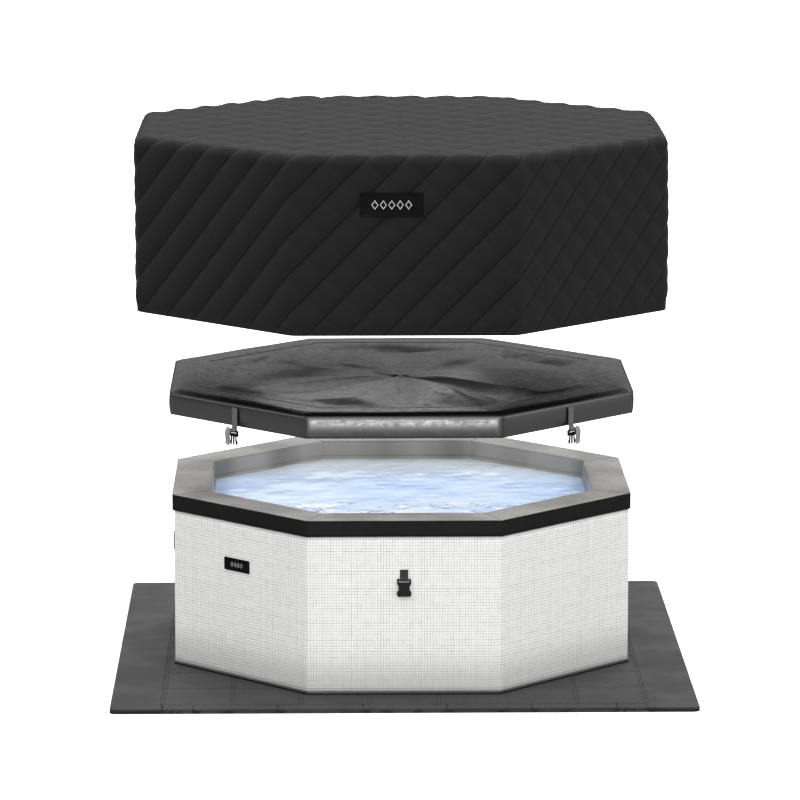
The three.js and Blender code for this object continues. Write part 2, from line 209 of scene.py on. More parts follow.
class Paint(Nodes):
    """A material for one surface."""

    def __init__(self, name, color, roughness):
        self.material = bpy.data.materials.new(name)
        self.material.use_nodes = True
        super().__init__(self.material.node_tree)
        self.shader = self.tree.nodes["Principled BSDF"]
        self.shader.inputs["Base Color"].default_value = (*color, 1)
        self.shader.inputs["Roughness"].default_value = roughness
        self.relief = None

    def place(self, uv=False):
        if uv:
            return self.node("ShaderNodeUVMap").outputs["UV"]
        return self.node("ShaderNodeTexCoord").outputs["Object"]

    def stretch(self, where, scale):
        mapping = self.node("ShaderNodeMapping", Vector=where)
        mapping.inputs["Scale"].default_value = scale
        return mapping.outputs["Vector"]

    def noise(self, where, scale, detail=3.0, roughness=0.55):
        made = self.node("ShaderNodeTexNoise", Vector=where, Scale=scale, Detail=detail, Roughness=roughness)
        return made.outputs["Fac"]

    def cells(self, where, scale):
        made = self.node("ShaderNodeTexVoronoi", Vector=where, Scale=scale)
        made.feature = "DISTANCE_TO_EDGE"
        return made.outputs["Distance"]

    def waves(self, along, length):
        return self.math("SINE", self.times(along, TURN / length))

    def mix(self, share, a, b):
        made = self.node("ShaderNodeMix")
        made.data_type = "RGBA"
        self.feed(made.inputs[0], share)
        for socket, color in ((made.inputs[6], a), (made.inputs[7], b)):
            self.feed(socket, (*color, 1) if isinstance(color, tuple) else color)
        return made.outputs[2]

    def color(self, value):
        self.feed(self.shader.inputs["Base Color"], value)

    def shades(self, share, base, dark, light):
        """A colour between a darker and a lighter shade of one base."""
        return self.mix(share, *[tuple(c * shade for c in base) for shade in (dark, light)])

    def roughness(self, value):
        self.feed(self.shader.inputs["Roughness"], value)

    def set(self, **values):
        for name, value in values.items():
            self.shader.inputs[name.replace("_", " ")].default_value = value
        return self

    def bump(self, height, depth, strength):
        """Adds relief of this depth in metres on top of any relief that is there."""
        made = self.node("ShaderNodeBump", Height=height, Distance=depth, Strength=strength)
        if self.relief is not None:
            self.feed(made.inputs["Normal"], self.relief)
        self.relief = made.outputs["Normal"]
        self.feed(self.shader.inputs["Normal"], self.relief)


def grey(level):
    return (level, level, level * 1.01)


def vinyl(name, base, gloss, grain=420.0, grain_depth=0.25 * MM, grain_share=0.5):
    """Leather-grained vinyl: pebbled relief, faint scuffs and colour drift."""
    paint = Paint(name, base, gloss)
    where = paint.place()
    paint.bump(paint.ramp(paint.cells(where, grain), 0.0, 0.35), grain_depth, grain_share)
    paint.color(paint.shades(paint.ramp(paint.noise(where, 5.0, 4), 0.3, 0.7), base, 0.85, 1.18))
    scuff = paint.noise(where, 38.0, 6, 0.7)
    paint.roughness(paint.ramp(scuff, 0.35, 0.75, gloss - 0.05, gloss + 0.1))
    return paint


def moulded(name, base, gloss):
    """Moulded plastic with a fine spark-eroded grain."""
    paint = Paint(name, base, gloss)
    where = paint.place()
    paint.bump(paint.noise(where, 2600.0, 2), 0.05 * MM, 0.6)
    paint.color(paint.shades(paint.noise(where, 24.0, 3), base, 0.8, 1.25))
    paint.roughness(paint.ramp(paint.noise(where, 90.0, 4), 0.3, 0.7, gloss - 0.06, gloss + 0.08))
    return paint


def foam_core():
    """Cut foam with open pores."""
    base = (0.62, 0.60, 0.54)
    paint = Paint("foam_core", base, 0.92)
    where = paint.place()
    paint.bump(paint.cells(where, 900.0), 0.3 * MM, 0.5)
    paint.color(paint.shades(paint.noise(where, 14.0, 4), base, 0.86, 1.1))
    return paint


def mat_foam():
    """Matt EVA foam with a leather-like emboss, walked-on patches and painted shade darkening the sides and
    bevels of each tile.
    """
    paint = Paint("mat_foam", (0.078, 0.078, 0.079), 0.8)
    where = paint.place()
    paint.bump(paint.ramp(paint.cells(where, 260.0), 0.0, 0.4), 0.5 * MM, 0.5)
    worn = paint.ramp(paint.noise(where, 3.0, 5, 0.6), 0.35, 0.7)
    # painted shade: below the top face the sides and bevels of each tile turn dark, so the joints between
    # tiles read as shaded lines
    edge = paint.ramp(paint.split(where)["Z"], MAT_TOP - 2.4 * MM, MAT_TOP - 0.3 * MM)
    shown = paint.mix(worn, (0.0148, 0.0148, 0.0150), (0.0158, 0.0158, 0.0160))
    paint.color(paint.mix(edge, (0.006, 0.006, 0.006), shown))
    paint.roughness(paint.ramp(worn, 0.0, 1.0, 0.86, 0.72))
    return paint


def woven_skin():
    """White laminated weave: cells of flat cane divided by thin grey lines, over the wall's own lengths, with
    painted shade darkening it towards the wall's foot.
    """
    cell = 11.5 * MM
    paint = Paint("woven_skin", (0.8, 0.8, 0.79), 0.6)
    where = paint.place(uv=True)
    split = paint.split(where)
    wobble = paint.times(paint.math("SUBTRACT", paint.noise(where, 55.0, 2), 0.5), 3.0 * MM)
    lines = []
    shades = []
    for axis in ("X", "Y"):
        turns = paint.math("DIVIDE", paint.math("ADD", split[axis], wobble), cell)
        chance = paint.node("ShaderNodeTexWhiteNoise")
        chance.noise_dimensions = "1D"
        paint.feed(chance.inputs["W"], paint.math("FLOOR", paint.math("ADD", turns, 0.5)))
        shades.append(chance.outputs["Value"])
        lines.append(paint.ramp(paint.math("PINGPONG", turns, 0.5), 0.04, 0.16))
    patch = paint.noise(where, 30.0, 3, 0.7)
    fade = paint.ramp(patch, 0.25, 0.75, 0.45, 1.0)
    marks = [paint.times(paint.math("SUBTRACT", 1.0, line),
                         paint.times(fade, paint.ramp(shade, 0.0, 1.0, 0.6, 1.0)))
             for line, shade in zip(lines, shades)]
    # painted shade: the cane is coloured darker over the lowest 0.2 m of the wall, towards its foot
    cane = paint.mix(paint.ramp(split["Y"], 0.02, 0.20), (0.46, 0.46, 0.45), (0.73, 0.73, 0.72))
    paint.color(paint.mix(paint.math("MAXIMUM", *marks), cane, (0.27, 0.27, 0.265)))
    paint.bump(paint.times(*lines), 0.9 * MM, 0.7)
    paint.bump(paint.noise(paint.stretch(where, (900, 220, 1)), 1.0, 2), 0.15 * MM, 0.4)
    paint.roughness(paint.ramp(patch, 0.2, 0.8, 0.5, 0.68))
    return paint


def quilt_cloth():
    """Charcoal polyester: plain weave, faint melange, sunken seams with pucker beside them, and painted shade
    darkening the seam lines.
    The UV map counts channels, so whole numbers are seams."""
    paint = Paint("quilt_cloth", (0.03, 0.03, 0.031), 0.85)
    where = paint.place()
    turns = paint.split(paint.place(uv=True))
    main, cross = (paint.math("PINGPONG", turns[axis], 0.5) for axis in ("X", "Y"))
    seam = paint.times(paint.ramp(main, 0.012, 0.055), paint.ramp(cross, 0.008, 0.035, 0.72, 1.0))
    threads = paint.split(where)
    weave = paint.times(*[paint.waves(threads[axis], 1.1 * MM) for axis in ("X", "Y")])
    paint.bump(paint.noise(where, 900.0, 2), 0.25 * MM, 0.35)
    paint.bump(paint.noise(where, 60.0, 3, 0.6), 1.6 * MM, 0.35)
    melange = paint.noise(where, 700.0, 2)
    shade = paint.math("ADD", paint.times(melange, 0.7), paint.times(weave, 0.05))
    shown = paint.mix(shade, (0.006, 0.006, 0.0062), (0.0145, 0.0145, 0.0148))
    # painted shade: the colour turns darker along the sunken stitched seams
    paint.color(paint.mix(seam, (0.0035, 0.0035, 0.0036), shown))
    paint.bump(seam, 2.0 * MM, 0.6)
    return paint.set(Sheen_Weight=0.03, Sheen_Roughness=0.5, Specular_IOR_Level=0.12)


def webbing_cloth(name, dark, light):
    """Ribbed polyester webbing, drawn along the strap's own length, with painted shade darkening the grooves
    between its ribs.
    """
    paint = Paint(name, light, 0.8)
    split = paint.split(paint.place(uv=True))
    twill = paint.times(paint.waves(split["X"], 3.1 * MM), 0.5)
    relief = paint.math("ADD", paint.waves(split["Y"], 2.4 * MM), twill)
    paint.bump(relief, 0.3 * MM, 0.6)
    # painted shade: the colour follows the ribs' relief, darker in the grooves than on the ribs
    paint.color(paint.mix(paint.ramp(relief, -1.2, 1.2), dark, light))
    return paint


def water_look():
    """Pale blue water that glows a little as painted light: slow colour drift, painted reflection greying it
    towards the back, painted white glints, white foam caps, and dark curl lines painted as shade beneath them
    where the bubbles break.
    """
    paint = Paint("water", (0.62, 0.76, 0.93), 0.05)
    where = paint.place()
    depth = paint.split(where)["Y"]
    drift = paint.noise(paint.stretch(where, (0.6, 1.0, 1.0)), 2.6, 4, 0.55)
    blue = paint.mix(paint.ramp(drift, 0.36, 0.64), (0.42, 0.58, 0.86), (0.60, 0.73, 0.90))
    # painted reflection: the water greys towards the back, where it mirrors the back wall
    shown = paint.mix(paint.ramp(depth, 0.15, 0.72), blue, (0.56, 0.62, 0.68))
    lively = paint.ramp(depth, -0.08, -0.27)
    ridges = paint.noise(paint.stretch(where, (1.0, 2.0, 1.0)), 4.5, 3, 0.55)
    # painted shade: thin dark curl lines near the front, the shaded undersides of the foam caps
    curl_shade = paint.ramp(paint.math("ABSOLUTE", paint.math("SUBTRACT", ridges, 0.5)), 0.003, 0.016, 1.0, 0.0)
    shown = paint.mix(paint.times(curl_shade, lively), shown, (0.20, 0.22, 0.30))
    caps = paint.times(paint.ramp(ridges, 0.515, 0.545), paint.ramp(ridges, 0.56, 0.63, 0.85, 0.25))
    shown = paint.mix(paint.times(caps, lively), shown, (0.80, 0.86, 0.95))
    # painted highlight: white glints mixed into the colour, strongest towards the front
    glints = paint.ramp(paint.noise(paint.stretch(where, (0.55, 1.4, 1.0)), 11.0, 3, 0.6), 0.60, 0.66)
    shown = paint.mix(paint.times(glints, paint.ramp(lively, 0.0, 1.0, 0.25, 1.0)), shown, (0.98, 0.99, 1.0))
    paint.color(shown)
    # painted light: the water glows with its own colour through emission, though it is no lamp
    paint.feed(paint.shader.inputs["Emission Color"], shown)
    paint.bump(paint.noise(where, 24.0, 4, 0.6), 2.0 * MM, 0.4)
    return paint.set(IOR=1.33, Emission_Strength=0.16)


def pleated_paper():
    paint = Paint("filter_media", (0.75, 0.79, 0.83), 0.8)
    where = paint.place()
    paint.bump(paint.noise(where, 500.0, 3), 0.2 * MM, 0.4)
    paint.color(paint.mix(paint.noise(where, 30.0, 4), (0.62, 0.66, 0.70), (0.82, 0.86, 0.90)))
    return paint


def liner_vinyl():
    """Warm grey vinyl with soft upright bands of painted reflection, as a wall that mirrors the room shows
    them, and painted shade on the rim's upper face.
    """
    base = (0.285, 0.275, 0.254)
    paint = vinyl("liner_skin", base, 0.42, 300.0, 0.12 * MM)
    where = paint.place()
    # painted reflection: soft upright bands that lighten and darken the wall's colour
    bands = paint.noise(paint.stretch(where, (3.4, 3.4, 0.0)), 1.0, 2, 0.4)
    # painted shade: the rim's upper face is coloured darker than the wall below it
    upper = paint.ramp(paint.split(where)["Z"], RIM_TOP - 9 * MM, RIM_TOP - 2 * MM, 0.0, 0.36)
    wall = paint.shades(paint.ramp(bands, 0.38, 0.62), base, 0.78, 1.3)
    paint.color(paint.mix(upper, wall, (0.02, 0.02, 0.018)))
    return paint.set(Specular_IOR_Level=0.35)


LOOKS = {
    "mat_foam": mat_foam(),
    "foam_core": foam_core(),
    "woven_skin": woven_skin(),
    "rim_skin": vinyl("rim_skin", (0.006, 0.006, 0.0061), 0.62).set(Specular_IOR_Level=0.12),
    "liner_skin": liner_vinyl(),
    "piping": vinyl("piping_skin", (0.008, 0.008, 0.008), 0.45),
    "label": vinyl("label_rubber", (0.0025, 0.0025, 0.0026), 0.75, 900.0, 0.1 * MM)
    .set(Specular_IOR_Level=0.08),
    "webbing": webbing_cloth("webbing_grey", (0.045, 0.046, 0.048), (0.13, 0.132, 0.136)),
    "buckle": moulded("buckle_acetal", (0.003, 0.003, 0.003), 0.5).set(Specular_IOR_Level=0.16),
    "fitting": moulded("fitting_plastic", (0.36, 0.37, 0.38), 0.4),
    "filter_media": pleated_paper(),
    "lid_leather": vinyl("lid_leather", (0.0036, 0.0036, 0.0037), 0.38, 520.0, 0.1 * MM, 0.2)
    .set(Specular_IOR_Level=0.5, IOR=1.22),
    "bladder": vinyl("bladder_skin", (0.05, 0.05, 0.055), 0.4),
    "quilt": quilt_cloth(),
}
PALE_MARK = moulded("pale_print", (0.55, 0.56, 0.57), 0.5)
WATER = water_look()
SIDE_LEATHER = vinyl("lid_side_leather", (0.0015, 0.0015, 0.0016), 0.36, 520.0, 0.03 * MM, 0.1)
SIDE_LEATHER.set(Specular_IOR_Level=0.95, IOR=1.6)
DARK_WEBBING = webbing_cloth("webbing_black", (0.006, 0.006, 0.006), (0.018, 0.018, 0.018))
# painted highlight: a paler copy of the grey strap webbing, for the curled tails of the same straps
TAIL_WEBBING_LIT = webbing_cloth("webbing_lit_tail", (0.14, 0.142, 0.146), (0.32, 0.323, 0.328))


def place(piece, slot, body, *nodes, paint=None, face=0):
    """Finishes a piece: its material, taken from its slot unless a paint is given, the face it stands at, its
    body, and hides the nodes it replaces.
    """
    piece.data.materials.clear()
    piece.data.materials.append((paint or LOOKS[slot]).material)
    piece.rotation_euler = (0, 0, face * FACE_TURN)
    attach(piece, body)
    if nodes:
        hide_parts(*nodes)
    return piece


# ------------------------------------------------------------------ meshes

NO_FACES = np.zeros((0, 3), int)


def make_piece(name, points, quads, tris=(), corner_uv=None):
    """A smooth mesh from arrays of points, quads and triangles, with one map of lengths in metres."""
    quads = np.asarray(quads, np.int32).reshape(-1, 4)
    tris = np.asarray(tris, np.int32).reshape(-1, 3)
    loops = np.concatenate([quads.ravel(), tris.ravel()])
    totals = np.concatenate([np.full(len(quads), 4), np.full(len(tris), 3)]).astype(np.int32)
    starts = np.concatenate([[0], np.cumsum(totals)[:-1]]).astype(np.int32)
    mesh = bpy.data.meshes.new(name)
    mesh.vertices.add(len(points))
    mesh.vertices.foreach_set("co", np.asarray(points, np.float32).ravel())
    mesh.loops.add(len(loops))
    mesh.loops.foreach_set("vertex_index", loops.astype(np.int32))
    mesh.polygons.add(len(totals))
    mesh.polygons.foreach_set("loop_start", starts)
    mesh.polygons.foreach_set("loop_total", totals)
    mesh.polygons.foreach_set("use_smooth", np.ones(len(totals), bool))
    if corner_uv is not None:
        mesh.uv_layers.new(name="lengths").data.foreach_set("uv", np.asarray(corner_uv, np.float32).ravel())
    mesh.update(calc_edges=True)
    mesh.validate()
    return link(bpy.data.objects.new(name, mesh))


def read_array(items, field, width, kind=np.float32):
    values = np.empty(len(items) * width, kind)
    items.foreach_get(field, values)
    return values.reshape(-1, width)


def gather(name, *parts):
    """Joins arrays of points and faces into one piece."""
    points, quads, tris, base = [], [], [], 0
    for p, q, t in parts:
        points.append(p)
        quads.append(np.asarray(q, int).reshape(-1, 4) + base)
        tris.append(np.asarray(t, int).reshape(-1, 3) + base)
        base += len(p)
    return make_piece(name, np.vstack(points), np.vstack(quads), np.vstack(tris))


def grid_index(rows, columns, loop=False):
    """Numbers a grid of points that closes round its columns, and round its rows if loop is set."""
    index = np.arange(rows * columns).reshape(rows, columns)
    if loop:
        index = np.vstack([index, index[:1]])
    return np.hstack([index, index[:, :1]])


def cells_of(grid):
    """The four corners of each cell of a grid, in face order."""
    return np.stack([grid[:-1, :-1], grid[:-1, 1:], grid[1:, 1:], grid[1:, :-1]], 2)


def skin(name, grid, u, v, loop=False, first=None, last=None):
    """A surface over a grid of points that closes round its columns. loop joins the last row to the first,
    and first and last are points that close the ends. u and v are lengths, u one longer than the columns."""
    index = grid_index(*grid.shape[:2], loop)
    uv = np.stack(np.meshgrid(u, v), -1)
    corner = [cells_of(uv).reshape(-1, 2)]
    points = grid.reshape(-1, 3)
    tris = []
    for end, row, flip in ((first, 0, True), (last, -1, False)):
        if end is None:
            continue
        ring = index[row]
        fan = np.stack([ring[:-1], ring[1:], np.full(len(ring) - 1, len(points))], -1)
        points = np.vstack([points, [end]])
        tris.append(fan[:, ::-1] if flip else fan)
        corner.append(np.repeat(uv[row][:-1], 3, axis=0))
    return make_piece(name, points, cells_of(index), np.vstack([NO_FACES, *tris]), np.vstack(corner))


def capped_tube(rings):
    """Points and faces of rings of points joined into a tube, with a fan over each end."""
    index = grid_index(*rings.shape[:2])
    caps = [(ring[0], ring[j], ring[j + 1]) for ring in (index[0], index[-1, ::-1])
            for j in range(1, rings.shape[1] - 1)]
    return rings.reshape(-1, 3), cells_of(index.T), np.array(caps)


def outline(half, corner, u):
    """Points and outward directions round a rounded octagon, at lengths from the front's middle."""
    straight = 2 * (half - corner) * HALF_TAN
    face_length = straight + corner * FACE_TURN
    face = np.round(u / face_length)
    t = u - face * face_length
    bend = np.maximum(np.abs(t) - straight / 2, 0) / max(corner, 1e-9)
    side = np.sign(t)
    x = np.clip(t, -straight / 2, straight / 2) + side * corner * np.sin(bend)
    y = -(half - corner) - corner * np.cos(bend)
    nx, ny = side * np.sin(bend), -np.cos(bend)
    c, s = np.cos(face * FACE_TURN), np.sin(face * FACE_TURN)
    return np.stack([x * c - y * s, x * s + y * c], -1), np.stack([nx * c - ny * s, nx * s + ny * c], -1)


def perimeter(half, corner):
    return SIDES * (2 * (half - corner) * HALF_TAN + corner * FACE_TURN)


def columns_even(half, corner, count):
    """Evenly spaced lengths round the octagon, from the middle of the back."""
    return np.linspace(-0.5, 0.5, count + 1) * perimeter(half, corner)


def columns_cornered(half, corner, coarse, near, fine):
    """Lengths round the octagon that crowd together near its corners."""
    face = perimeter(half, corner) / SIDES
    side = np.concatenate([np.arange(0, face / 2 - near, coarse), np.arange(face / 2 - near, face / 2, fine),
                           [face / 2]])
    one = np.concatenate([-side[:0:-1], side])
    every = [one + k * face for k in range(-SIDES // 2 + 1, SIDES // 2)]
    back, forth = side - SIDES / 2 * face, -side[::-1] + SIDES / 2 * face
    return np.unique(np.round(np.concatenate([back, *every, forth]), 7))


def corner_distance(half, corner, u):
    """How far each length is from the nearest corner."""
    face = perimeter(half, corner) / SIDES
    return np.abs((u / face) % 1 - 0.5) * face


def at_corners(half, corner, u, grid):
    """The columns of a grid that run down the octagon's corners."""
    return [grid[:, column] for column in np.flatnonzero(corner_distance(half, corner, u[:-1]) < 0.1 * MM)]


def steps_of(path):
    return np.linalg.norm(np.diff(path, axis=0), axis=1)


def lengths_of(path):
    return np.concatenate([[0], np.cumsum(steps_of(path))])


def unit(vectors):
    return vectors / np.linalg.norm(vectors, axis=1)[:, None]


def loft_grid(half, corner, u, profile, puff=None, loop=False):
    """Points of a profile of (face distance, height) swept round the octagon, and the lengths along it.
    puff(u, points) gives how far each point stands out from the swept surface."""
    profile = np.asarray(profile, float)
    ring, out = outline(half, corner, u[:-1])
    step = np.gradient(profile, axis=0)
    if loop:
        step = (np.roll(profile, -1, 0) - np.roll(profile, 1, 0)) / 2
    normal = np.stack([step[:, 1], -step[:, 0]], -1) / np.maximum(np.hypot(*step.T), 1e-9)[:, None]
    scale = profile[:, 0] / half
    grid = np.empty((len(profile), len(ring), 3))
    grid[..., :2] = scale[:, None, None] * ring
    grid[..., 2] = profile[:, 1][:, None]
    if puff is not None:
        lift = puff(u[:-1], grid)
        grid[..., :2] += (lift * normal[:, 0][:, None])[..., None] * out
        grid[..., 2] += lift * normal[:, 1][:, None]
    v = lengths_of(profile)
    if loop:
        v = np.append(v, v[-1] + math.dist(profile[-1], profile[0]))
    return grid, v


def octagon_loft(name, half, corner, u, profile, puff=None, loop=False, first=None, last=None):
    grid, v = loft_grid(half, corner, u, profile, puff, loop)
    return skin(name, grid, u, v, loop, first, last)


def arc(center, radius, start, stop, count):
    """Points of a round stretch of a profile, in degrees."""
    angles = np.radians(np.linspace(start, stop, count))
    return np.stack([center[0] + radius * np.cos(angles), center[1] + radius * np.sin(angles)], -1)


def line(a, b, step):
    return np.linspace(a, b, max(2, int(math.dist(a, b) / step) + 1))


def trace(*stretches):
    """Joins stretches of a profile, dropping repeated points."""
    points = np.vstack(stretches)
    return points[np.append(True, steps_of(points) > 0.05 * MM)]


def bell(distance, width, power=2):
    """A smooth bump, 1 in the middle and near 0 beyond its width."""
    return np.exp(-(distance / width) ** power)


def ripple(points, scale, seed):
    """Smooth made-up unevenness between -1 and 1, from a few crossing waves."""
    waves = np.random.default_rng(seed)
    total = 0
    for _ in range(7):
        direction = waves.normal(size=3)
        direction /= np.linalg.norm(direction)
        total = total + np.sin(points @ direction * 2 * math.pi / (scale * waves.uniform(0.6, 1.6))
                               + waves.uniform(0, 2 * math.pi))
    return total / 4


# ------------------------------------------------------------------ fittings, drawn in millimetres


def rounded(points, radius, steps=4):
    """Rounds the corners of a closed outline."""
    made = []
    for i, here in enumerate(points):
        here = np.array(here, float)
        before, after = np.array(points[i - 1], float), np.array(points[(i + 1) % len(points)], float)
        back, on = math.dist(before, here), math.dist(after, here)
        reach = min(radius, back / 2.2, on / 2.2)
        start, end = here + (before - here) / back * reach, here + (after - here) / on * reach
        for t in np.linspace(0, 1, steps + 1):
            made.append((1 - t) ** 2 * start + 2 * t * (1 - t) * here + t ** 2 * end)
    return [tuple(p) for p in made]


def softened(profile, radius=1.2):
    return rounded(profile, radius, 3)


def rectangle(width, height, x=0.0, z=0.0):
    w, h = width / 2, height / 2
    return [(x - w, z - h), (x + w, z - h), (x + w, z + h), (x - w, z + h)]


def mirrored(half):
    """A whole outline from its right half."""
    return half + [(-x, z) for x, z in reversed(half) if x]


def section_plate(outlines, thick, bevel):
    """A moulded plate with rounded edges, drawn in x and z about y = 0. Later outlines are its holes."""
    curve = bpy.data.curves.new("plate", "CURVE")
    curve.dimensions = "2D"
    curve.fill_mode = "BOTH"
    curve.extrude = (thick / 2 - bevel) * MM
    curve.bevel_depth = bevel * MM
    curve.bevel_resolution = 2
    curve.offset = -bevel * MM
    for points in outlines:
        spline = curve.splines.new("POLY")
        spline.points.add(len(points) - 1)
        spline.use_cyclic_u = True
        for point, (x, z) in zip(spline.points, points):
            point.co = (x * MM, z * MM, 0, 1)
    holder = bpy.data.objects.new("plate", curve)
    mesh = bpy.data.meshes.new_from_object(holder)
    bpy.data.objects.remove(holder)
    mesh.calc_loop_triangles()
    x, z, y = read_array(mesh.vertices, "co", 3).astype(float).T
    return np.stack([x, -y, z], -1), (), read_array(mesh.loop_triangles, "vertices", 3, np.int32)


def moved(parts, x=0.0, y=0.0, z=0.0):
    """The same faces with their points moved, in metres."""
    points, quads, tris = parts
    return points + np.array([x, y, z]), quads, tris


def turned(profile, x, z, segments=64, knurl=None):
    """A closed lathe about a line along Y at x and z in metres. profile lists (y, radius), and
    knurl(angle, radius) changes the radii."""
    profile = np.asarray(profile, float)
    angles = np.arange(segments) * TURN / segments
    y, radius = (np.repeat(values[:, None] * MM, segments, 1) for values in profile.T)
    if knurl is not None:
        radius = knurl(angles, radius / MM) * MM
    points = np.stack([x + radius * np.sin(angles), y, z + radius * np.cos(angles)], -1).reshape(-1, 3)
    quads = cells_of(grid_index(len(profile), segments, loop=True).T).reshape(-1, 4)
    area = np.sum(profile[:, 0] * np.roll(profile[:, 1], -1) - np.roll(profile[:, 0], -1) * profile[:, 1])
    return points, quads[:, ::-1] if area < 0 else quads, NO_FACES


def knurled(count, deep, least):
    """Grip ribs on radii over a size."""
    def change(angle, radius):
        return np.where(radius > least, radius - deep * (0.5 + 0.5 * np.cos(count * angle)), radius)
    return change


def barbs(start, count, low, high, pitch):
    """Barbs that hold a hose: a slow rise and a sharp step, repeated."""
    made = []
    for y in (start + i * pitch for i in range(count)):
        made += [(y, low), (y + 0.75 * pitch, high), (y + 0.85 * pitch, low)]
    return made


def crossbar(z, radius, length, segments=20):
    """A round bar along X with domed ends. Its sizes are in metres."""
    dome = np.linspace(0.3, 1.57, 5)
    x = np.concatenate([[-length / 2], -length / 2 + radius * (1 - np.cos(dome))])
    r = np.concatenate([[0.02 * MM], radius * np.sin(dome)])
    x, r = np.concatenate([x, -x[::-1]])[:, None], np.concatenate([r, r[::-1]])[:, None]
    turn = np.arange(segments) * TURN / segments
    return capped_tube(np.stack([x + 0 * turn, r * np.cos(turn), z + r * np.sin(turn)], -1))


def drilled(piece, holes):
    """Cuts round holes along Y, given as (x, z, radius), through the back of a piece."""
    centre, start, stop = 0.02, 700, 1000
    rods = [turned([(start, centre), (stop, centre), (stop, radius), (start, radius)], x, z, 48)
            for x, z, radius in holes]
    tool = gather("drill", *rods)
    cut = piece.modifiers.new("holes", "BOOLEAN")
    cut.operation = "DIFFERENCE"
    cut.solver = "EXACT"
    cut.object = tool
    mesh = bpy.data.meshes.new_from_object(piece.evaluated_get(bpy.context.evaluated_depsgraph_get()))
    piece.modifiers.clear()
    piece.data = mesh
    bpy.data.objects.remove(tool)
    return piece


# ------------------------------------------------------------------ webbing and welts


def smooth_path(points, y, z, step):
    """A Catmull-Rom curve in even steps, through points in millimetres from a place on the front."""
    p = np.array(points) * MM + [0, y, z]
    p = np.vstack([2 * p[0] - p[1], p, 2 * p[-1] - p[-2]])
    made = []
    for i in range(1, len(p) - 2):
        t = np.linspace(0, 1, 12, endpoint=False)[:, None]
        a, b, c, d = p[i - 1:i + 3]
        made.append(0.5 * (2 * b + (c - a) * t + (2 * a - 5 * b + 4 * c - d) * t ** 2
                           + (3 * b - a - 3 * c + d) * t ** 3))
    made = np.vstack(made + [p[-2:-1]])
    length = lengths_of(made)
    even = np.linspace(0, length[-1], max(4, int(length[-1] / step)))
    return np.stack([np.interp(even, length, made[:, i]) for i in range(3)], -1)


def webbing(name, path, width, thick):
    """Flat webbing along a path of points; its width lies along X, and its lengths are its UV map."""
    along = unit(np.gradient(path, axis=0))
    out = unit(np.cross(along, [1.0, 0, 0]))
    side = np.cross(out, along)
    top = [(-0.5, 0.0), (-0.47, 0.5), *[(a, 0.5) for a in np.linspace(-0.4, 0.4, 6)], (0.47, 0.5)]
    edge = np.vstack([top, -np.array(top)])
    grid = (path[:, None, :] + side[:, None, :] * (edge[:, 0] * width)[None, :, None]
            + out[:, None, :] * (edge[:, 1] * thick)[None, :, None])
    u = np.append(edge[:, 0], edge[0, 0]) * width
    return skin(name, grid, u, lengths_of(path), first=grid[0].mean(0), last=grid[-1].mean(0))


def cord_tube(path, radius, sides=8):
    path = path[np.append(True, steps_of(path) > 0.2 * MM)]
    run = unit(np.gradient(path, axis=0))
    upright = np.abs(run[:, 2:3]) > 0.8
    out = unit(np.cross(run, np.where(upright, [[0.6, 0.8, 0.0]], [[0.0, 0.0, 1.0]])))
    over = np.cross(out, run)
    turn = np.arange(sides)[None, :, None] * TURN / sides
    return capped_tube(path[:, None] + radius * (np.cos(turn) * out[:, None] + np.sin(turn) * over[:, None]))


def seam_cords(name, paths, radius, slot, body):
    """Round welts or threads along paths of points, joined as one piece."""
    place(gather(name, *[cord_tube(path, radius) for path in paths]), slot, body)


def closed_ring(row):
    return np.vstack([row, row[:1]])


# ------------------------------------------------------------------ floor mat

TILE = 270 * MM
TILE_COLUMNS, TILE_ROWS = 7, 8
GRID_X, GRID_Y = TILE * TILE_COLUMNS / 2, TILE * TILE_ROWS / 2
TOOTH_PITCH = TILE / 6
TOOTH_DEEP = 9 * MM
HALF_GAP = 0.6 * MM  # half the joint between two tiles
STRIP_LONG = 330 * MM
MAT_CORNER = 26 * MM


def teeth(t):
    """The wavy edge of a tile: square-shouldered teeth that are level at the tile's corners."""
    return TOOTH_DEEP * np.tanh(2.2 * np.sin(TURN * t / TOOTH_PITCH)) / math.tanh(2.2)


def flat(t):
    return np.zeros_like(t)


def foam_slab(edge):
    """A foam slab with softened edges over an outline that runs anticlockwise."""
    edge = edge[np.linalg.norm(edge - np.roll(edge, 1, 0), axis=1) > 0.2 * MM]
    run = unit(np.roll(edge, -1, 0) - np.roll(edge, 1, 0))
    inward = np.stack([-run[:, 1], run[:, 0]], -1)
    steps = [(0.0, 0.0), (0.0, MAT_TOP - 3.5 * MM), (0.7 * MM, MAT_TOP - 1.6 * MM),
             (2.0 * MM, MAT_TOP - 0.5 * MM), (3.4 * MM, MAT_TOP), (4.4 * MM, MAT_TOP)]
    points = np.vstack([np.column_stack([edge + inward * inset, np.full(len(edge), height)])
                        for inset, height in steps])
    index = grid_index(len(steps), len(edge))
    top, bottom = (fill(points[index[row, :-1]]) + index[row, 0] for row in (-1, 0))
    return points, cells_of(index), np.vstack([top, bottom[:, ::-1]])


def fill(ring):
    """Triangles that fill an outline, facing up."""
    made = []
    for a, b, c in tessellate_polygon([[Vector(p) for p in ring]]):
        pa, pb, pc = ring[a], ring[b], ring[c]
        up = (pb[0] - pa[0]) * (pc[1] - pa[1]) - (pb[1] - pa[1]) * (pc[0] - pa[0])
        made.append((a, b, c) if up > 0 else (a, c, b))
    return np.array(made)


def side_along(start, end, wave, count):
    """Points from start to end, pushed to the left of the run by wave(length)."""
    start, end = np.array(start), np.array(end)
    length = np.linalg.norm(end - start)
    t = np.linspace(0, length, count, endpoint=False)
    run = (end - start) / length
    return start + t[:, None] * run + wave(t)[:, None] * np.array([-run[1], run[0]])


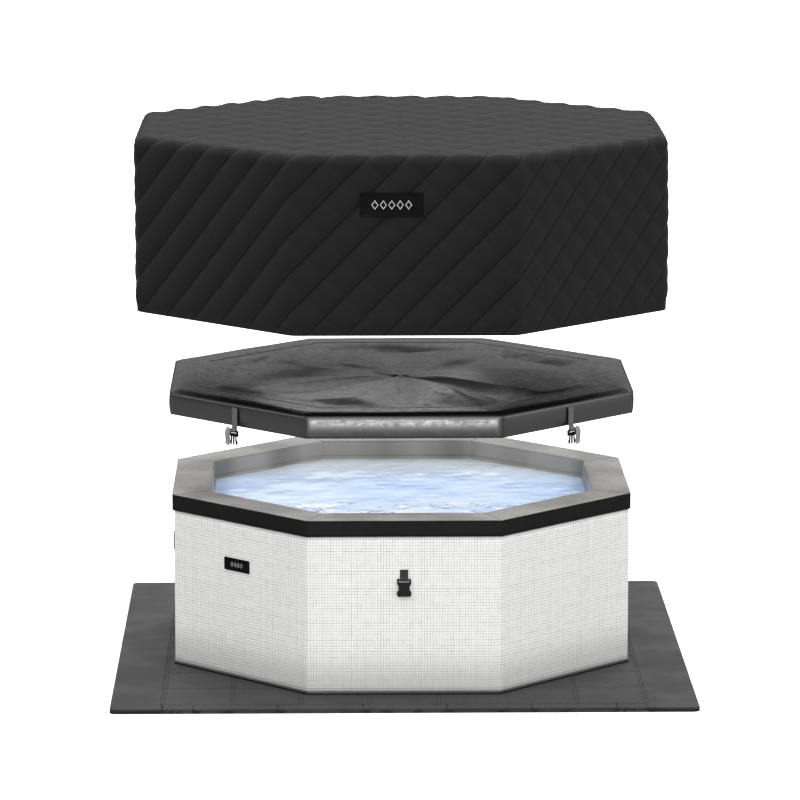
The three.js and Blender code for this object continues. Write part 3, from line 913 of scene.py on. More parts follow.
def slab_round(*sides):
    """A slab whose sides are given as (start, wave, count). Each side ends where the next one starts."""
    ends = [side[0] for side in sides[1:] + sides[:1]]
    return foam_slab(np.vstack([side_along(start, end, wave, count)
                                for (start, wave, count), end in zip(sides, ends)]))


def mat_tile(column, row):
    x0, y0 = -GRID_X + TILE * column + HALF_GAP, -GRID_Y + TILE * row + HALF_GAP
    x1, y1 = x0 + TILE - 2 * HALF_GAP, y0 + TILE - 2 * HALF_GAP
    count = 96

    def forward(t):
        return teeth(t + HALF_GAP)

    def backward(t):
        return -teeth(TILE - HALF_GAP - t)

    return slab_round(((x0, y0), forward, count), ((x1, y0), forward, count),
                      ((x1, y1), backward, count), ((x0, y1), backward, count))


def front_strip(a, b, count):
    inner, outer = -GRID_Y - HALF_GAP, -MAT_HALF
    return slab_round(((a, outer), flat, 8), ((b, outer), flat, 4),
                      ((b, inner), lambda t: -teeth(b - t + GRID_X), count), ((a, inner), flat, 4))


def back_strip(a, b, count):
    inner, outer = GRID_Y + HALF_GAP, MAT_HALF
    return slab_round(((a, inner), lambda t: teeth(a + t + GRID_X), count), ((b, inner), flat, 4),
                      ((b, outer), flat, 8), ((a, outer), flat, 4))


def side_strip(way, wave):
    """The whole right strip, or the left one with way -1. Each has the wave that fits its tiles."""
    inner, outer = GRID_X + HALF_GAP, MAT_HALF
    center = outer - MAT_CORNER
    low, high = arc((center, -center), MAT_CORNER, -90, 0, 9), arc((center, center), MAT_CORNER, 0, 90, 9)
    inside = side_along((inner, GRID_Y), (inner, -GRID_Y), wave, int(2 * GRID_Y / 3 / MM))
    top = [(inner, outer), (inner, GRID_Y + 1 * MM)]
    return foam_slab(way * np.vstack([[(inner, -outer)], low, high, top, inside]))


def make_mat():
    for row in range(TILE_ROWS):
        tiles = [mat_tile(column, row) for column in range(TILE_COLUMNS)]
        place(gather(f"mat_tiles_{row + 1}", *tiles), "mat_foam", "tub", f"mat_row_{row + 1}")
    cuts = np.concatenate([[-GRID_X + HALF_GAP], np.arange(-2.5, 3, 1) * STRIP_LONG, [GRID_X - HALF_GAP]])
    spans = [(a, b, int((b - a) / 3 / MM)) for a, b in zip(cuts[:-1] + HALF_GAP / 2, cuts[1:] - HALF_GAP / 2)]
    strips = {"front": [front_strip(*span) for span in spans], "back": [back_strip(*span) for span in spans],
              "right": [side_strip(1, lambda t: -teeth(2 * GRID_Y - t))], "left": [side_strip(-1, teeth)]}
    for side, parts in strips.items():
        place(gather(f"mat_border_{side}", *parts), "mat_foam", "tub", f"mat_edge_{side}")


# ------------------------------------------------------------------ tub

PORTS = [(-0.150, 0.268, 1.0), (0.150, 0.268, 1.0), (0.250, 0.420, 0.62)]  # x, z and scale
DRAIN_Z = 0.118
WALL_HOLES = [(x, z, 30.3 * scale) for x, z, scale in PORTS] + [(0.0, DRAIN_Z, 14)]
MITRE_DEEP = 0.9 * MM


def make_sleeve():
    half, corner, thick = SLEEVE_HALF - 1 * MM, 14 * MM, 1.8 * MM
    low, high = SLEEVE_LOW, SLEEVE_TOP - 0.5 * MM
    outer = line((half, low), (half, high), 30 * MM)
    inner = line((half - thick, high), (half - thick, low), 80 * MM)
    u = columns_cornered(half, corner, 60 * MM, 14 * MM, 2.5 * MM)

    def puff(u, grid):
        lift = np.zeros(grid.shape[:2])
        lift[:len(outer)] = 0.8 * MM * ripple(grid[:len(outer)], 0.6, 3)
        return lift

    piece = octagon_loft("woven_sleeve", half, corner, u, np.vstack([outer, inner]), puff, loop=True)
    place(drilled(piece, WALL_HOLES), "woven_skin", "tub", "outer_sleeve")


def make_liner():
    half, corner, cove = BASIN_HALF, 4 * MM, 24 * MM
    floor, top = levels("liner")
    floor += 2 * MM
    under = floor - 1.8 * MM
    wall = trace([(0.02, floor)], line((0.15, floor), (half - cove, floor), 90 * MM)[:-1],
                 arc((half - cove, floor + cove), cove, -90, 0, 7),
                 line((half, floor + cove), (half, top), 45 * MM))
    outside = [(half + 1.8 * MM, top), (half + 1.8 * MM, under), (0.02, under)]
    u = columns_cornered(half, corner, 50 * MM, 30 * MM, 4 * MM)
    piece = octagon_loft("basin_liner", half, corner, u, np.vstack([wall, outside])[::-1],
                         first=(0, 0, under), last=(0, 0, floor))
    place(drilled(piece, WALL_HOLES), "liner_skin", "tub", "liner")


def make_rim():
    """The rim: grey vinyl over the top and inner face, black band outside, mitred at each corner."""
    low, top = RIM_LOW, RIM_TOP
    inner, outer = BASIN_HALF, RIM_HALF - 2.2 * MM
    r, nose, corner = 2 * MM, 9 * MM, 4 * MM
    profile = trace(line((inner + r, low), (outer, low), 30 * MM),
                    line((outer, low), (outer, top - r), 20 * MM),
                    arc((outer - r, top - r), r, 0, 90, 6),
                    line((outer - r, top), (inner + nose, top), 10 * MM),
                    arc((inner + nose, top - nose), nose, 90, 180, 7),
                    line((inner, top - nose), (inner, low + r), 12 * MM),
                    arc((inner + r, low + r), r, 180, 270, 4))
    u = columns_cornered(outer, corner, 24 * MM, 16 * MM, 1.5 * MM)

    def puff(u, grid):
        near = corner_distance(outer, corner, u)
        mitre = -MITRE_DEEP * bell(near, 2.4 * MM)
        crown = 1.2 * MM * np.clip(near / 0.12, 0, 1) ** 0.5
        lift = np.where(grid[..., 2] > top - 4 * MM, crown + mitre - 1.2 * MM, 0.6 * mitre)
        return lift + 0.35 * MM * ripple(grid, 0.25, 11)

    grid, v = loft_grid(outer, corner, u, profile, puff, loop=True)
    cover = place(skin("rim_cover", grid, u, v, loop=True), "liner_skin", "tub", "rim_pad")
    shown = np.flatnonzero(profile[:, 1] > top - nose)
    seam_cords("rim_mitre_seams", at_corners(outer, corner, u, grid[shown]), 1.1 * MM, "rim_skin", "tub")

    face, back = RIM_HALF - 0.4 * MM, RIM_HALF - 2.0 * MM
    band_top = top - 2.5 * MM
    lip = trace([(back, low), (face - 0.5 * MM, low)],
                line((face, low + 0.6 * MM), (face, band_top - 3 * MM), 14 * MM),
                arc((face - 1.8 * MM, band_top - 1.2 * MM), 2.1 * MM, -20, 200, 9),
                [(back, band_top - 4 * MM)])
    u = columns_cornered(face, corner, 60 * MM, 14 * MM, 2 * MM)

    def seam(u, grid):
        return -1.0 * MM * bell(corner_distance(face, corner, u), 2.2 * MM) + 0.25 * MM * ripple(grid, 0.3, 5)

    band = octagon_loft("rim_outer_band", face, corner, u, lip, seam, loop=True)
    place(band, "rim_skin", "tub", "rim_pad")


def make_piping():
    low, high = levels("bottom_piping")
    radius, corner = (high - low) / 2, 12 * MM
    half = half_across("bottom_piping") - radius
    u = columns_cornered(half, corner, 60 * MM, 14 * MM, 2 * MM)
    cord = arc((half, low + radius), radius, 0, 330, 12)
    piece = octagon_loft("foot_piping", half, corner, u, cord, loop=True)
    place(piece, "piping", "tub", "bottom_piping")


def make_water():
    half, corner, low = BASIN_HALF - 0.6 * MM, 4 * MM, WATER_LEVEL - 30 * MM
    bottom = line((0.02, low), (half, low), 120 * MM)
    top = line((half, WATER_LEVEL), (0.012, WATER_LEVEL), 9 * MM)

    def waves(u, grid):
        lift = np.zeros(grid.shape[:2])
        for height, scale, seed in ((2.5, 0.45, 21), (1.8, 0.16, 22), (0.8, 0.07, 23)):
            lift[len(bottom):] += height * MM * ripple(grid[len(bottom):], scale, seed)
        return lift

    u = columns_even(half, corner, 448)
    piece = octagon_loft("water_surface", half, corner, u, np.vstack([bottom, top]), waves,
                         first=(0, 0, low), last=(0, 0, WATER_LEVEL))
    place(piece, "liner_skin", "tub", paint=WATER)


def diamond(x, w, h):
    return [(x - w, 0), (x, -h), (x + w, 0), (x, h)]


def make_label(node, face, body, count):
    """A blank rubber patch with a raised border and a generic row of outlined diamonds."""
    low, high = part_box(node)
    x, y, z = (low + high) / 2
    c, s = math.cos(-face * FACE_TURN), math.sin(-face * FACE_TURN)
    x, y = x * c - y * s, x * s + y * c
    across = math.hypot(high.x - low.x, high.y - low.y) if face % 2 else high.x - low.x
    wide, tall = across / MM, (high.z - low.z) / MM
    border, step = 0.055 * tall, 0.30 * tall
    plate = section_plate([rounded(rectangle(wide, tall), 4)], 2.0, 0.5)
    edging = section_plate([rounded(rectangle(wide - 1, tall - 1), 4),
                            rounded(rectangle(wide - 2 * border, tall - 2 * border), 2)], 1.6, 0.6)
    raised = y - 1.2 * MM
    marks = []
    for i in range(count):
        at = (i - (count - 1) / 2) * step * 1.15
        outer, inner = diamond(at, 0.46 * step, 0.62 * step), diamond(at, 0.37 * step, 0.50 * step)
        marks.append(section_plate([outer, inner], 0.8, 0.15))
    patch = gather(node + "_patch", moved(plate, x, y, z), moved(edging, x, raised, z))
    mark = gather(node + "_mark", *[moved(part, x, raised, z) for part in marks])
    place(patch, "label", body, node, face=face)
    place(mark, "label", body, paint=PALE_MARK, face=face)


# ------------------------------------------------------------------ ports, filter and drain at the back

WALL_OUT, WALL_IN = SLEEVE_HALF / MM, BASIN_HALF / MM  # millimetres


def make_port(node, scale, x, z):
    out, inside = WALL_OUT + 0.3, WALL_IN - 12
    bore, tube, flange, spigot = (size * scale for size in (24, 29, 48, 34))
    end = out + 52
    profile = [(inside, bore), (inside, tube), (out, tube), (out, flange), (out + 3, flange),
               (out + 7, flange - 4), (out + 7, spigot - 1), *barbs(out + 14, 4, spigot - 1.6, spigot, 8),
               (end - 4, spigot - 1.6), (end, spigot - 3), (end, bore)]
    screw = softened([(out + 3, 0.05), (out + 8, 0.05), (out + 8, 3), (out + 3, 3)], 0.5)
    reach = (flange - 8 * scale) * MM
    screws = [turned(screw, x + reach * math.sin(turn), z + reach * math.cos(turn), 12)
              for turn in (np.arange(6) + 0.5) * TURN / 6]
    place(gather(node + "_body", turned(softened(profile, 0.9), x, z, 72), *screws), "fitting", "tub", node)


def make_nut(node, x, z):
    face = WALL_IN - 0.3
    profile = [(face - 12, 29.5), (face - 12, 42), (face - 8, 47), (face, 47), (face, 29.5)]
    ring = turned(softened(profile), x, z, 180, knurled(30, 1.6, 40))
    place(gather(node + "_ring", ring), "fitting", "tub", node)


def make_filter():
    low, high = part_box("filter_cartridge")
    x, z = (low.x + high.x) / 2, (low.z + high.z) / 2
    a, b, cap = low.y / MM, high.y / MM, 8

    def pleats(angle, radius):
        return np.where(radius > 30, radius - 9 * np.abs(np.sin(angle * 24)), radius)

    pleated = [(a + cap, 20), (a + cap, 48), (b - cap, 48), (b - cap, 20)]
    closed = softened([(a, 0.1), (a, 53), (a + cap, 53), (a + cap, 0.1)])
    opened = softened([(b - cap, 20), (b - cap, 53), (b, 53), (b, 20)])
    caps = [turned(profile, x, z, 72) for profile in (closed, opened)]
    piece = gather("filter_pleats", turned(pleated, x, z, 384, pleats), *caps)
    place(piece, "filter_media", "filter", "filter_cartridge")


def make_drain():
    out = WALL_OUT + 0.3
    inside, mouth = WALL_IN - 4, out + 8
    profile = [(inside, 9), (inside, 12.8), (out, 12.8), (out, 26), (out + 3, 26), (out + 5, 23),
               (out + 5, 14.5), *barbs(out + 9, 4, 13.6, 15, 4), (out + 30, 13.6), (out + 30, 9)]
    spout = turned(softened(profile, 0.7), 0, DRAIN_Z, 60)
    place(gather("drain_spout", spout), "fitting", "tub", "drain_valve")
    cap = [(mouth, 16), (mouth, 20.8), (mouth + 24, 20.8), (mouth + 28, 17), (mouth + 28, 0.1),
           (mouth + 23, 0.1), (mouth + 23, 16)]
    grip = turned(softened(cap), 0, DRAIN_Z, 144, knurled(24, 1.2, 18))
    place(gather("drain_cap_grip", grip), "buckle", "drain_plug", "drain_cap")


# ------------------------------------------------------------------ buckles and straps

BUCKLE_Z = 0.480
BAR_OUT = 8 * MM  # from the wall out to a buckle's bar
STRAP_BAR_Z = LID_LOW - 18 * MM
SHELL = [(20, -11), (20, 3.5), (23.5, 4.5), (27.5, 3), (27.5, -15), (21.5, -25), (21, -40), (28.5, -50),
         (28.5, -59), (24, -66)]
RAILS = [(16.8, -66), (24, -66), (28.5, -59), (28.5, -50), (21, -40), (21.5, -25), (27.5, -15), (27.5, 3),
         (20, 3.5), (20, -11), (0, -11), (0, -22), (16.8, -22)]
RIDGE = [(-15, -17), (15, -17), (14, -40), (19, -52), (18, -60), (-18, -60), (-19, -52), (-14, -40)]
PRONG = [(9, -20), (15, -20), (15.5, -39), (22, -43), (21, -50), (16, -58), (13, -58), (10, -40)]
TAB_PATH = [(0, -1.6, 40), (0, -1.6, 14), (0, -10, 7), (0, -13.2, 0), (0, -8, -5.2), (0, -3.2, -0.5),
            (0, -2.6, 5)]
STRAP_PATH = [(0, -1.9, 75), (0, -3, 50), (0, -3.2, 20), (0, -4, -4), (0, -12.6, -12), (0, -13, -19),
              (0, -8, -23), (0, -3.6, -18), (0, -4.4, -8)]
TAIL_PATH = [(0, -13.5, -16), (3, -20, -6), (10, -27, -8), (15, -29, -24), (17, -25, -44), (20, -21, -60),
             (24, -23, -72)]


def make_tub_buckle(where, face):
    """The socket half on its webbing tab: a hollow shell of two faces and two rails, with a bar on top."""
    path = smooth_path(TAB_PATH, -SLEEVE_HALF, BUCKLE_Z, 1.5 * MM)
    tab = webbing(f"tub_tab_{where}", path, 33 * MM, 2.0 * MM)
    place(tab, "webbing", "tub", f"buckle_tab_{where}", paint=DARK_WEBBING, face=face)
    shape = rounded(mirrored(SHELL), 3)
    slot = rounded(rectangle(20, 3, 0, -31), 1.2)
    parts = [moved(section_plate([shape], 3.4, 1.1), y=-4.6 * MM),
             moved(section_plate([shape], 3.2, 1.0), y=4.4 * MM),
             section_plate([mirrored(RAILS)], 6.2, 0.3),
             moved(section_plate([rounded(RIDGE, 4), slot], 2.2, 0.8), y=-6.0 * MM),
             crossbar(0, 3 * MM, 46 * MM)]
    y = -SLEEVE_HALF - BAR_OUT
    shell = gather(f"tub_buckle_shell_{where}", *[moved(part, 0, y, BUCKLE_Z) for part in parts])
    place(shell, "buckle", f"buckle_{where}", f"tub_buckle_{where}", face=face)


def make_strap(where, face, lean):
    """A lid strap: webbing down to the prong half, with a curled tail that leans to one side."""
    body = f"strap_{where}"
    down = smooth_path(STRAP_PATH, -LID_HALF, LID_LOW, 2 * MM)
    tail = smooth_path([(lean * x, y, z) for x, y, z in TAIL_PATH], -LID_HALF, LID_LOW, 2 * MM)
    band = webbing(f"strap_webbing_{where}", down, 30 * MM, 2.0 * MM)
    place(band, "webbing", body, f"lid_strap_{where}", face=face)
    end = webbing(f"strap_tail_{where}", tail, 29 * MM, 1.9 * MM)
    # the tail wears the paler copy of its strap's webbing as a painted highlight
    place(end, "webbing", body, paint=TAIL_WEBBING_LIT, face=face)
    top = STRAP_BAR_Z + 3.5 * MM
    ladder = [rounded(rectangle(52, 24, 0, -12), 4), rounded(rectangle(36, 9, 0, -6.5), 2)]
    guide = [rounded(rectangle(7, 36, 0, -39), 3)]
    parts = [section_plate(ladder, 6, 1.2), section_plate(guide, 5, 1.0)]
    for side in (1, -1):
        parts.append(section_plate([rounded([(side * x, z) for x, z in PRONG], 2.5)], 5, 1.0))
    parts.append(crossbar(STRAP_BAR_Z - top, 2.6 * MM, 40 * MM))
    prongs = gather(f"strap_prongs_{where}", *[moved(part, 0, -LID_HALF - BAR_OUT, top) for part in parts])
    place(prongs, "buckle", body, f"strap_buckle_{where}", face=face)


# ------------------------------------------------------------------ inflatable lid

BORDER = 0.844  # the stitched inner octagon, as a share of the lid
SHEET_ROWS, SHEET_COLUMNS = 26, 160
SHEET_CENTER = 0.05  # the held patch in the middle, as a share of the lid
SETTLE_FRAMES = 24
FOLD_DEEP = 38 * MM
FOLD_LIMIT = 20 * MM
FOLD_SINK = 9 * MM  # how far the creased panel lies below its seam on average
PANEL_DEEP = 3 * MM  # the stitched seam below the border's crest
DECK = LID_TOP - 42 * MM  # the two covers meet here, out of sight, just over the air cell


def star_folds(grid, strength):
    """Broad radial creases drawn in towards the middle of the lid."""
    folds = np.random.default_rng(31)
    count = 16
    x, y = grid[..., 0], grid[..., 1]
    reach = np.hypot(x, y) / LID_HALF
    angle = np.arctan2(y, x)
    total = np.zeros(reach.shape)
    for i in range(count):
        at = (i + folds.uniform(-0.35, 0.35)) * 2 * math.pi / count
        sharp = folds.uniform(25, 120)
        long = folds.uniform(0.75, 1.15)
        size = folds.uniform(0.5, 1.0) * (1 if i % 2 else -0.8)
        swing = 0.25 * folds.normal() * reach
        ridge = np.exp(sharp * (np.cos(angle - at - swing) - 1))
        total += size * ridge * np.clip(1 - (reach / long) ** 3, 0, 1)
    return strength * total * np.clip(reach / 0.45, 0, 1)


def settled_folds(half, corner, seam):
    """Lets the lid's top sheet, cut a little too big and held at its seam and its middle, find its own folds
    over the air inside. Returns heights over a grid, from the seam inwards and round from the back."""
    u = columns_even(half, corner, SHEET_COLUMNS)
    reach = np.linspace(seam, SHEET_CENTER * half, SHEET_ROWS)
    profile = np.stack([reach, np.zeros(SHEET_ROWS)], -1)
    fade = np.clip((seam - reach) / (60 * MM), 0, 1)[:, None]
    grid, v = loft_grid(half, corner, u, profile)
    grid[..., 2] = star_folds(grid, FOLD_DEEP) * fade
    sheet = skin("sheet", grid, u, v, last=(0, 0, grid[-1, :, 2].mean()))
    held = sheet.vertex_groups.new(name="held")
    count = SHEET_ROWS * SHEET_COLUMNS
    held.add([*range(SHEET_COLUMNS), *range(count - SHEET_COLUMNS, count + 1)], 1.0, "REPLACE")
    cloth = sheet.modifiers.new("settle", "CLOTH")
    fabric = {"quality": 5, "mass": 0.25, "tension_stiffness": 14, "compression_stiffness": 14,
              "shear_stiffness": 6, "bending_stiffness": 1.5, "air_damping": 4, "vertex_group_mass": "held",
              "shrink_min": -0.003, "use_pressure": True, "uniform_pressure_force": 0.25}
    for name, value in fabric.items():
        setattr(cloth.settings, name, value)
    cloth.settings.effector_weights.gravity = 0
    cloth.collision_settings.use_collision = False
    cloth.point_cache.frame_start, cloth.point_cache.frame_end = 1, SETTLE_FRAMES
    for number in range(1, SETTLE_FRAMES + 1):
        bpy.context.scene.frame_set(number)
    settled = sheet.evaluated_get(bpy.context.evaluated_depsgraph_get()).data
    heights = read_array(settled.vertices, "co", 3)[:count, 2].reshape(SHEET_ROWS, SHEET_COLUMNS)
    bpy.data.objects.remove(sheet)
    bpy.context.scene.frame_set(1)
    return heights.astype(float)


def spline_shares(at, count, wrap):
    """A matrix that reads a row of samples at fractional places, as a smooth cubic curve."""
    cell = np.floor(at).astype(int)
    t = at - cell
    before, after = 3 * t ** 3 - 6 * t ** 2 + 4, -3 * t ** 3 + 3 * t ** 2 + 3 * t + 1
    shares = np.stack([(1 - t) ** 3, before, after, t ** 3]) / 6
    made = np.zeros((len(at), count))
    for step in range(4):
        sample = cell - 1 + step
        sample = sample % count if wrap else np.clip(sample, 0, count - 1)
        np.add.at(made, (np.arange(len(at)), sample), shares[step])
    return made


def make_lid():
    """The lid's cover: a base with bulging sides, and a top with a rolled border and a creased panel."""
    half, corner, edge = LID_HALF - 3 * MM, 9 * MM, 7 * MM
    low, top = LID_LOW + 0.5 * MM, LID_TOP - 1 * MM
    wall, seam = half - 5 * MM, BORDER * half
    side_low, side_high = low + edge, top - 13 * MM
    u = columns_even(half, corner, 512)
    near = corner_distance(half, corner, u[:-1])[None, :]
    corner_pinch = -2.5 * MM * bell(near, 5 * MM)
    bottom = line((0.02, low), (wall - edge, low), 60 * MM)
    side = trace(arc((wall - edge, side_low), edge, -90, -10, 5),
                 line((wall, side_low + 1 * MM), (wall, side_high), 6 * MM))
    closed = [(wall - 3 * MM, side_high - 2 * MM), (wall - 12 * MM, DECK), (0.02, DECK)]
    base_profile = trace(bottom, side, closed)
    side_rows = slice(len(bottom) - 1, len(bottom) + len(side) - 1)

    def bulge(u, grid):
        away = 1 - bell(near, 25 * MM, 1.5)
        radius, height = base_profile[:, 0][:, None], base_profile[:, 1][:, None]
        across = (height - (low + top) / 2) / (0.5 * (side_high - low))
        is_side = (radius > wall - 12 * MM) & (height < side_high - 0.5 * MM)
        out = 4.5 * MM * np.clip(1 - across ** 2, 0, 1) * (0.8 + 0.2 * away)
        return (out + corner_pinch * (height > low + 3 * MM) + 0.06 * MM * ripple(grid, 0.3, 43)) * is_side

    base_grid, v = loft_grid(half, corner, u, base_profile, bulge)
    base = skin("lid_side_cover", base_grid, u, v, first=(0, 0, low), last=(0, 0, DECK))
    place(base, "lid_leather", "lid", "lid_base", "lid_side_band", paint=SIDE_LEATHER)

    share = np.linspace(0, 1, 24)[1:]
    rise = np.sin(np.clip(share * 4.5, 0, math.pi / 2))
    fall = np.clip((share - 0.45) / 0.55, 0, 1) ** 2
    crest = side_high + (top - side_high) * rise - PANEL_DEEP * fall
    border = np.stack([wall - (wall - seam) * share, crest], -1)
    panel = line((seam, border[-1, 1]), (0.012, border[-1, 1]), 9 * MM)[1:]
    under = [(0.02, DECK + 1 * MM), (wall - 11 * MM, DECK + 1 * MM), (wall - 2 * MM, side_high - 1 * MM),
             (wall, side_high)]
    top_profile = trace(under, border, panel)
    upper = (np.arange(len(top_profile)) >= len(under))[:, None]
    heights = settled_folds(half, corner, seam)
    inward = (seam - top_profile[:, 0]) / (seam - SHEET_CENTER * half)
    down = spline_shares(np.clip(inward, 0, 1) * (SHEET_ROWS - 1), SHEET_ROWS, False)
    across = spline_shares(np.arange(len(u) - 1) / (len(u) - 1) * SHEET_COLUMNS, SHEET_COLUMNS, True)

    def creases(u, grid):
        radius, height = top_profile[:, 0][:, None], top_profile[:, 1][:, None]
        inside = np.clip((seam - radius) / (110 * MM), 0, 1)
        folds = np.clip(down @ heights @ across.T, -FOLD_LIMIT, FOLD_LIMIT)
        stitched = -1.2 * MM * bell(radius - seam, 6 * MM)
        soft = 1.4 * MM * ripple(grid, 0.5, 41) + 0.4 * MM * ripple(grid, 0.2, 42)
        lifted = np.minimum((folds - FOLD_SINK) * inside + stitched + soft, LID_TOP - height)
        return (corner_pinch * (radius > wall - 8 * MM) + lifted) * upper

    grid, v = loft_grid(half, corner, u, top_profile, creases)
    cover = skin("lid_top_cover", grid, u, v, first=(0, 0, DECK + 1 * MM), last=grid[-1].mean(0))
    place(cover, "lid_leather", "lid", "lid_top")
    stitch_row = int(np.argmin(np.abs(top_profile[:, 0] - seam) + 10 * ~upper[:, 0]))
    rings = [closed_ring(base_grid[row]) for row in (side_rows.stop - 1, side_rows.start + 1)]
    corners = at_corners(half, corner, u, base_grid[side_rows])
    seam_cords("lid_welts", corners + rings, 2.0 * MM, "piping", "lid")
    seam_cords("lid_stitched_seam", [closed_ring(grid[stitch_row])], 2.0 * MM, "piping", "lid")


def make_air_cell():
    """The bladder inside the cover, drawn in at the rows of welds that keep it flat."""
    half, corner = LID_HALF - 24 * MM, 30 * MM
    low, top = LID_LOW + 12 * MM, LID_TOP - 44 * MM
    edge = (top - low) / 2
    profile = trace(line((0.02, low), (half - edge, low), 40 * MM),
                    arc((half - edge, low + edge), edge, -90, 90, 13),
                    line((half - edge, top), (0.02, top), 12 * MM))

    def welds(u, grid):
        row = np.sin(grid[..., 1] * math.pi / (90 * MM)) ** 2
        return -5 * MM * (1 - row) * (grid[..., 2] > low + edge)

    piece = octagon_loft("lid_air_cell", half, corner, columns_even(half, corner, 192), profile, welds,
                         first=(0, 0, low), last=(0, 0, top - 5 * MM))
    place(piece, "bladder", "lid", "lid_bladder")


# ------------------------------------------------------------------ quilted jacket

PUFFS_ROUND = 46  # channels round the skirt
PUFF_DEEP = 13 * MM
STEPS = 12  # mesh columns to one channel
SKIRT_HALF = JACKET_HALF - 12 * MM
JACKET_CORNER = 42 * MM
PITCH = perimeter(SKIRT_HALF, JACKET_CORNER) / PUFFS_ROUND
HEM_PUFF = 5 * MM
TOP_PITCH = PITCH * math.sqrt(2)


def pillow(turns):
    """Height of a stuffed channel over its width, 0 at the seams and 1 between them."""
    t = 2 * np.abs(turns - np.round(turns))
    return np.clip(1 - (1 - t) ** 2.2, 0, 1) ** 0.8


def skirt_turns(lengths, climb):
    """Channel counts across both diagonals of the skirt, from lengths round it and up it."""
    return (lengths - climb) / PITCH, (lengths + climb) / PITCH


def top_turns(points):
    """The same counts on the jacket's top."""
    x, y = points[..., 0], points[..., 1] + SKIRT_HALF
    return (x - y) / TOP_PITCH, (x + y) / TOP_PITCH


def make_jacket():
    u = columns_even(SKIRT_HALF, JACKET_CORNER, PUFFS_ROUND * STEPS)
    step = PITCH / STEPS
    low, top = JACKET_LOW, JACKET_TOP - 8 * MM
    quilt = JACKET_TOP - QUILT_LOW
    inner, ceiling = JACKET_HALF - quilt + 1 * MM, JACKET_TOP - quilt + 1.5 * MM
    over, cove = 32 * MM, 12 * MM
    bend = over * TURN / 8  # half the length of the shoulder's curve
    hem = (SKIRT_HALF + HEM_PUFF - inner) / 2
    lining = trace([(0.02, ceiling), (0.35, ceiling), (0.7, ceiling), (inner - cove, ceiling)],
                   arc((inner - cove, ceiling - cove), cove, 90, 0, 4),
                   line((inner, ceiling - 14 * MM), (inner, low + hem + 4 * MM), 120 * MM))
    roll = arc((inner + hem, low + hem), hem, 180, 360, 9)
    side_start, side_stop = low + hem + 8 * MM, top - over
    rows = int(round((side_stop - side_start) / step))
    side = np.stack([np.full(rows + 1, SKIRT_HALF), side_stop - step * np.arange(rows, -1, -1)], -1)
    shoulder = arc((SKIRT_HALF - over, top - over), over, 0, 90, 7)[1:]
    flat_top = line((SKIRT_HALF - over, top), (0.012, top), step)[1:]
    profile = trace(lining, roll, side, shoulder, flat_top)
    first_top = len(profile) - len(flat_top)
    first_side = first_top - len(shoulder) - len(side)
    climb = lengths_of(profile)
    along = climb - climb[first_side + len(side) - 1] - bend  # from the middle of the shoulder

    def puff(lengths, grid):
        shown, up = grid[first_side:], along[first_side:, None]
        a, b = skirt_turns(lengths[None, :], up)
        skirt = PUFF_DEEP * pillow(a) * (0.62 + 0.38 * pillow(b))
        a, b = top_turns(shown)
        lid = PUFF_DEEP * (0.35 + 0.65 * pillow(a)) * (0.35 + 0.65 * pillow(b)) - 0.12 * PUFF_DEEP
        share = np.clip((up - (bend - 4 * MM)) / (30 * MM), 0, 1)
        share = share * share * (3 - 2 * share)
        seam = share * bell(shown[..., 0], 9 * MM)
        made = (skirt * (1 - share) + lid * share) * (1 - seam) - 1.5 * MM * seam
        hem_fade = np.clip((climb[first_side:, None] - climb[first_side]) / (26 * MM), 0, 1)
        slack = 2.2 * MM * ripple(shown, 0.55, 61) + 0.9 * MM * ripple(shown, 0.2, 62)
        lift = np.zeros(grid.shape[:2])
        lift[first_side:] = (made + slack) * hem_fade + HEM_PUFF * (1 - hem_fade)
        return lift

    piece = octagon_loft("jacket_quilt", SKIRT_HALF, JACKET_CORNER, u, profile, puff,
                         first=(0, 0, ceiling), last=(0, 0, top))
    quilt_map(piece, (len(profile) - 1) * (len(u) - 1), (first_top - 1) * (len(u) - 1), along[0])
    place(piece, "quilt", "jacket", "jacket_top", "jacket_skirt", "jacket_hem")


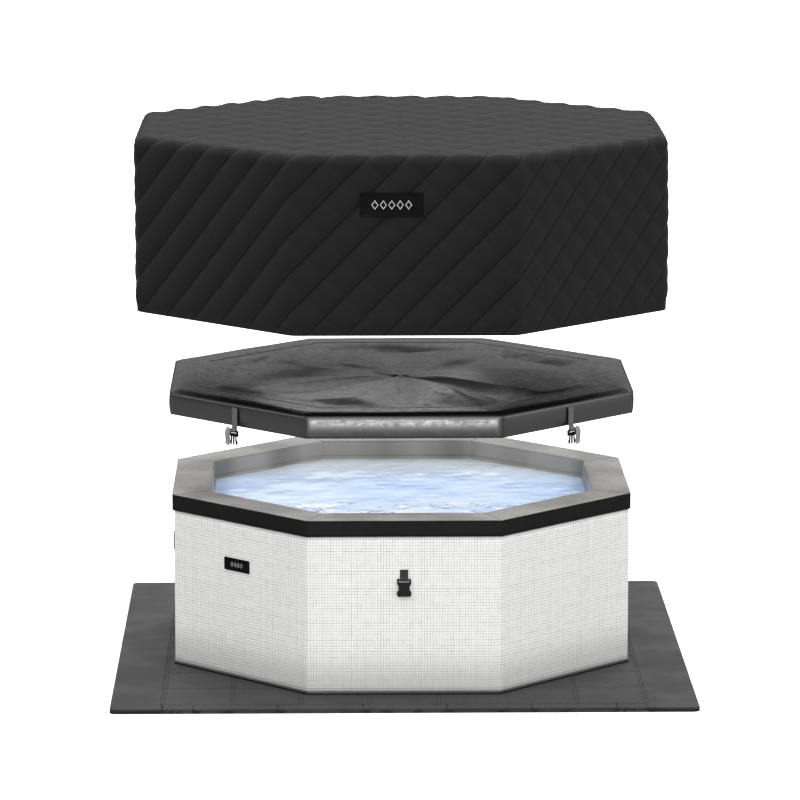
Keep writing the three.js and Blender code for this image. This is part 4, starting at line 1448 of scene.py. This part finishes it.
def quilt_map(piece, quads, first_top, start):
    """Rewrites the UV map as channel counts, so that the cloth's seams follow the puffs. start is the first
    row's place along the profile, and first_top is the first quad that lies on the jacket's top."""
    layer = piece.data.uv_layers[0].data
    uv = read_array(layer, "uv", 2)
    corners = read_array(piece.data.loops, "vertex_index", 1, np.int32)[:, 0]
    points = read_array(piece.data.vertices, "co", 3)[corners]
    lengths, height = uv[:4 * quads].T
    made = np.zeros_like(uv)
    made[:4 * quads] = np.stack(skirt_turns(lengths, height - height.min() + start), -1)
    made[4 * first_top:] = np.stack(top_turns(points[4 * first_top:]), -1)
    layer.foreach_set("uv", made.ravel())


# ------------------------------------------------------------------ pieces kept from the frame

KEPT_LOOKS = {
    "foam_core": [f"wall_panel_{k + 1}" for k in range(SIDES)] + ["floor_pad"],
    "liner_skin": ["bubble_ring"],
    "buckle": ["lid_valve_cap"],
}


def dress_kept():
    for slot, nodes in KEPT_LOOKS.items():
        for node in nodes:
            piece = bpy.data.objects[node]
            if not piece.material_slots:
                piece.data.materials.append(None)
            for holder in piece.material_slots:
                holder.material = LOOKS[slot].material


# ------------------------------------------------------------------ everything

bpy.context.scene.view_settings.view_transform = "Standard"
add_camera()
add_world()
add_floor()
add_softbox("front_strip", (-0.3, -16, 0.36), (0, 0, 1.1), (4.5, 0.6), 850)
add_softbox("under_jacket", (-0.1, 0.38, JACKET_LOW - 5 * MM), (0, 0.15, LID_TOP), (1.0, 0.3), 2.5, "jacket")
add_softbox("under_lid", (0, 0, LID_LOW - 5 * MM), (0, 0, 0), (1.3, 1.3), 6.5, "lid")
add_softbox("back_strip", (0, 15, 7.4), (0, 0, 1.1), (16, 2.4), 60)
add_softbox("right_strip", (12, -1.5, 3.2), (0, 0, 1.2), (3, 3), 45)
make_mat()
make_sleeve()
make_liner()
make_rim()
make_piping()
make_water()
make_label("tub_label", DIAGONAL_FACES["left_front"], "tub", 4)
make_label("jacket_label", SQUARE_FACES["front"], "jacket", 5)
for (x, z, scale), node in zip(PORTS, ("suction_fitting", "return_fitting", "air_fitting")):
    make_port(node, scale, x, z)
make_nut("suction_nut", *PORTS[0][:2])
make_nut("return_nut", *PORTS[1][:2])
make_filter()
make_drain()
for where, face in SQUARE_FACES.items():
    make_tub_buckle(where, face)
for where, face in DIAGONAL_FACES.items():
    make_strap(where, face, 1 if "right" in where else -1)
make_lid()
make_air_cell()
make_jacket()
dress_kept()
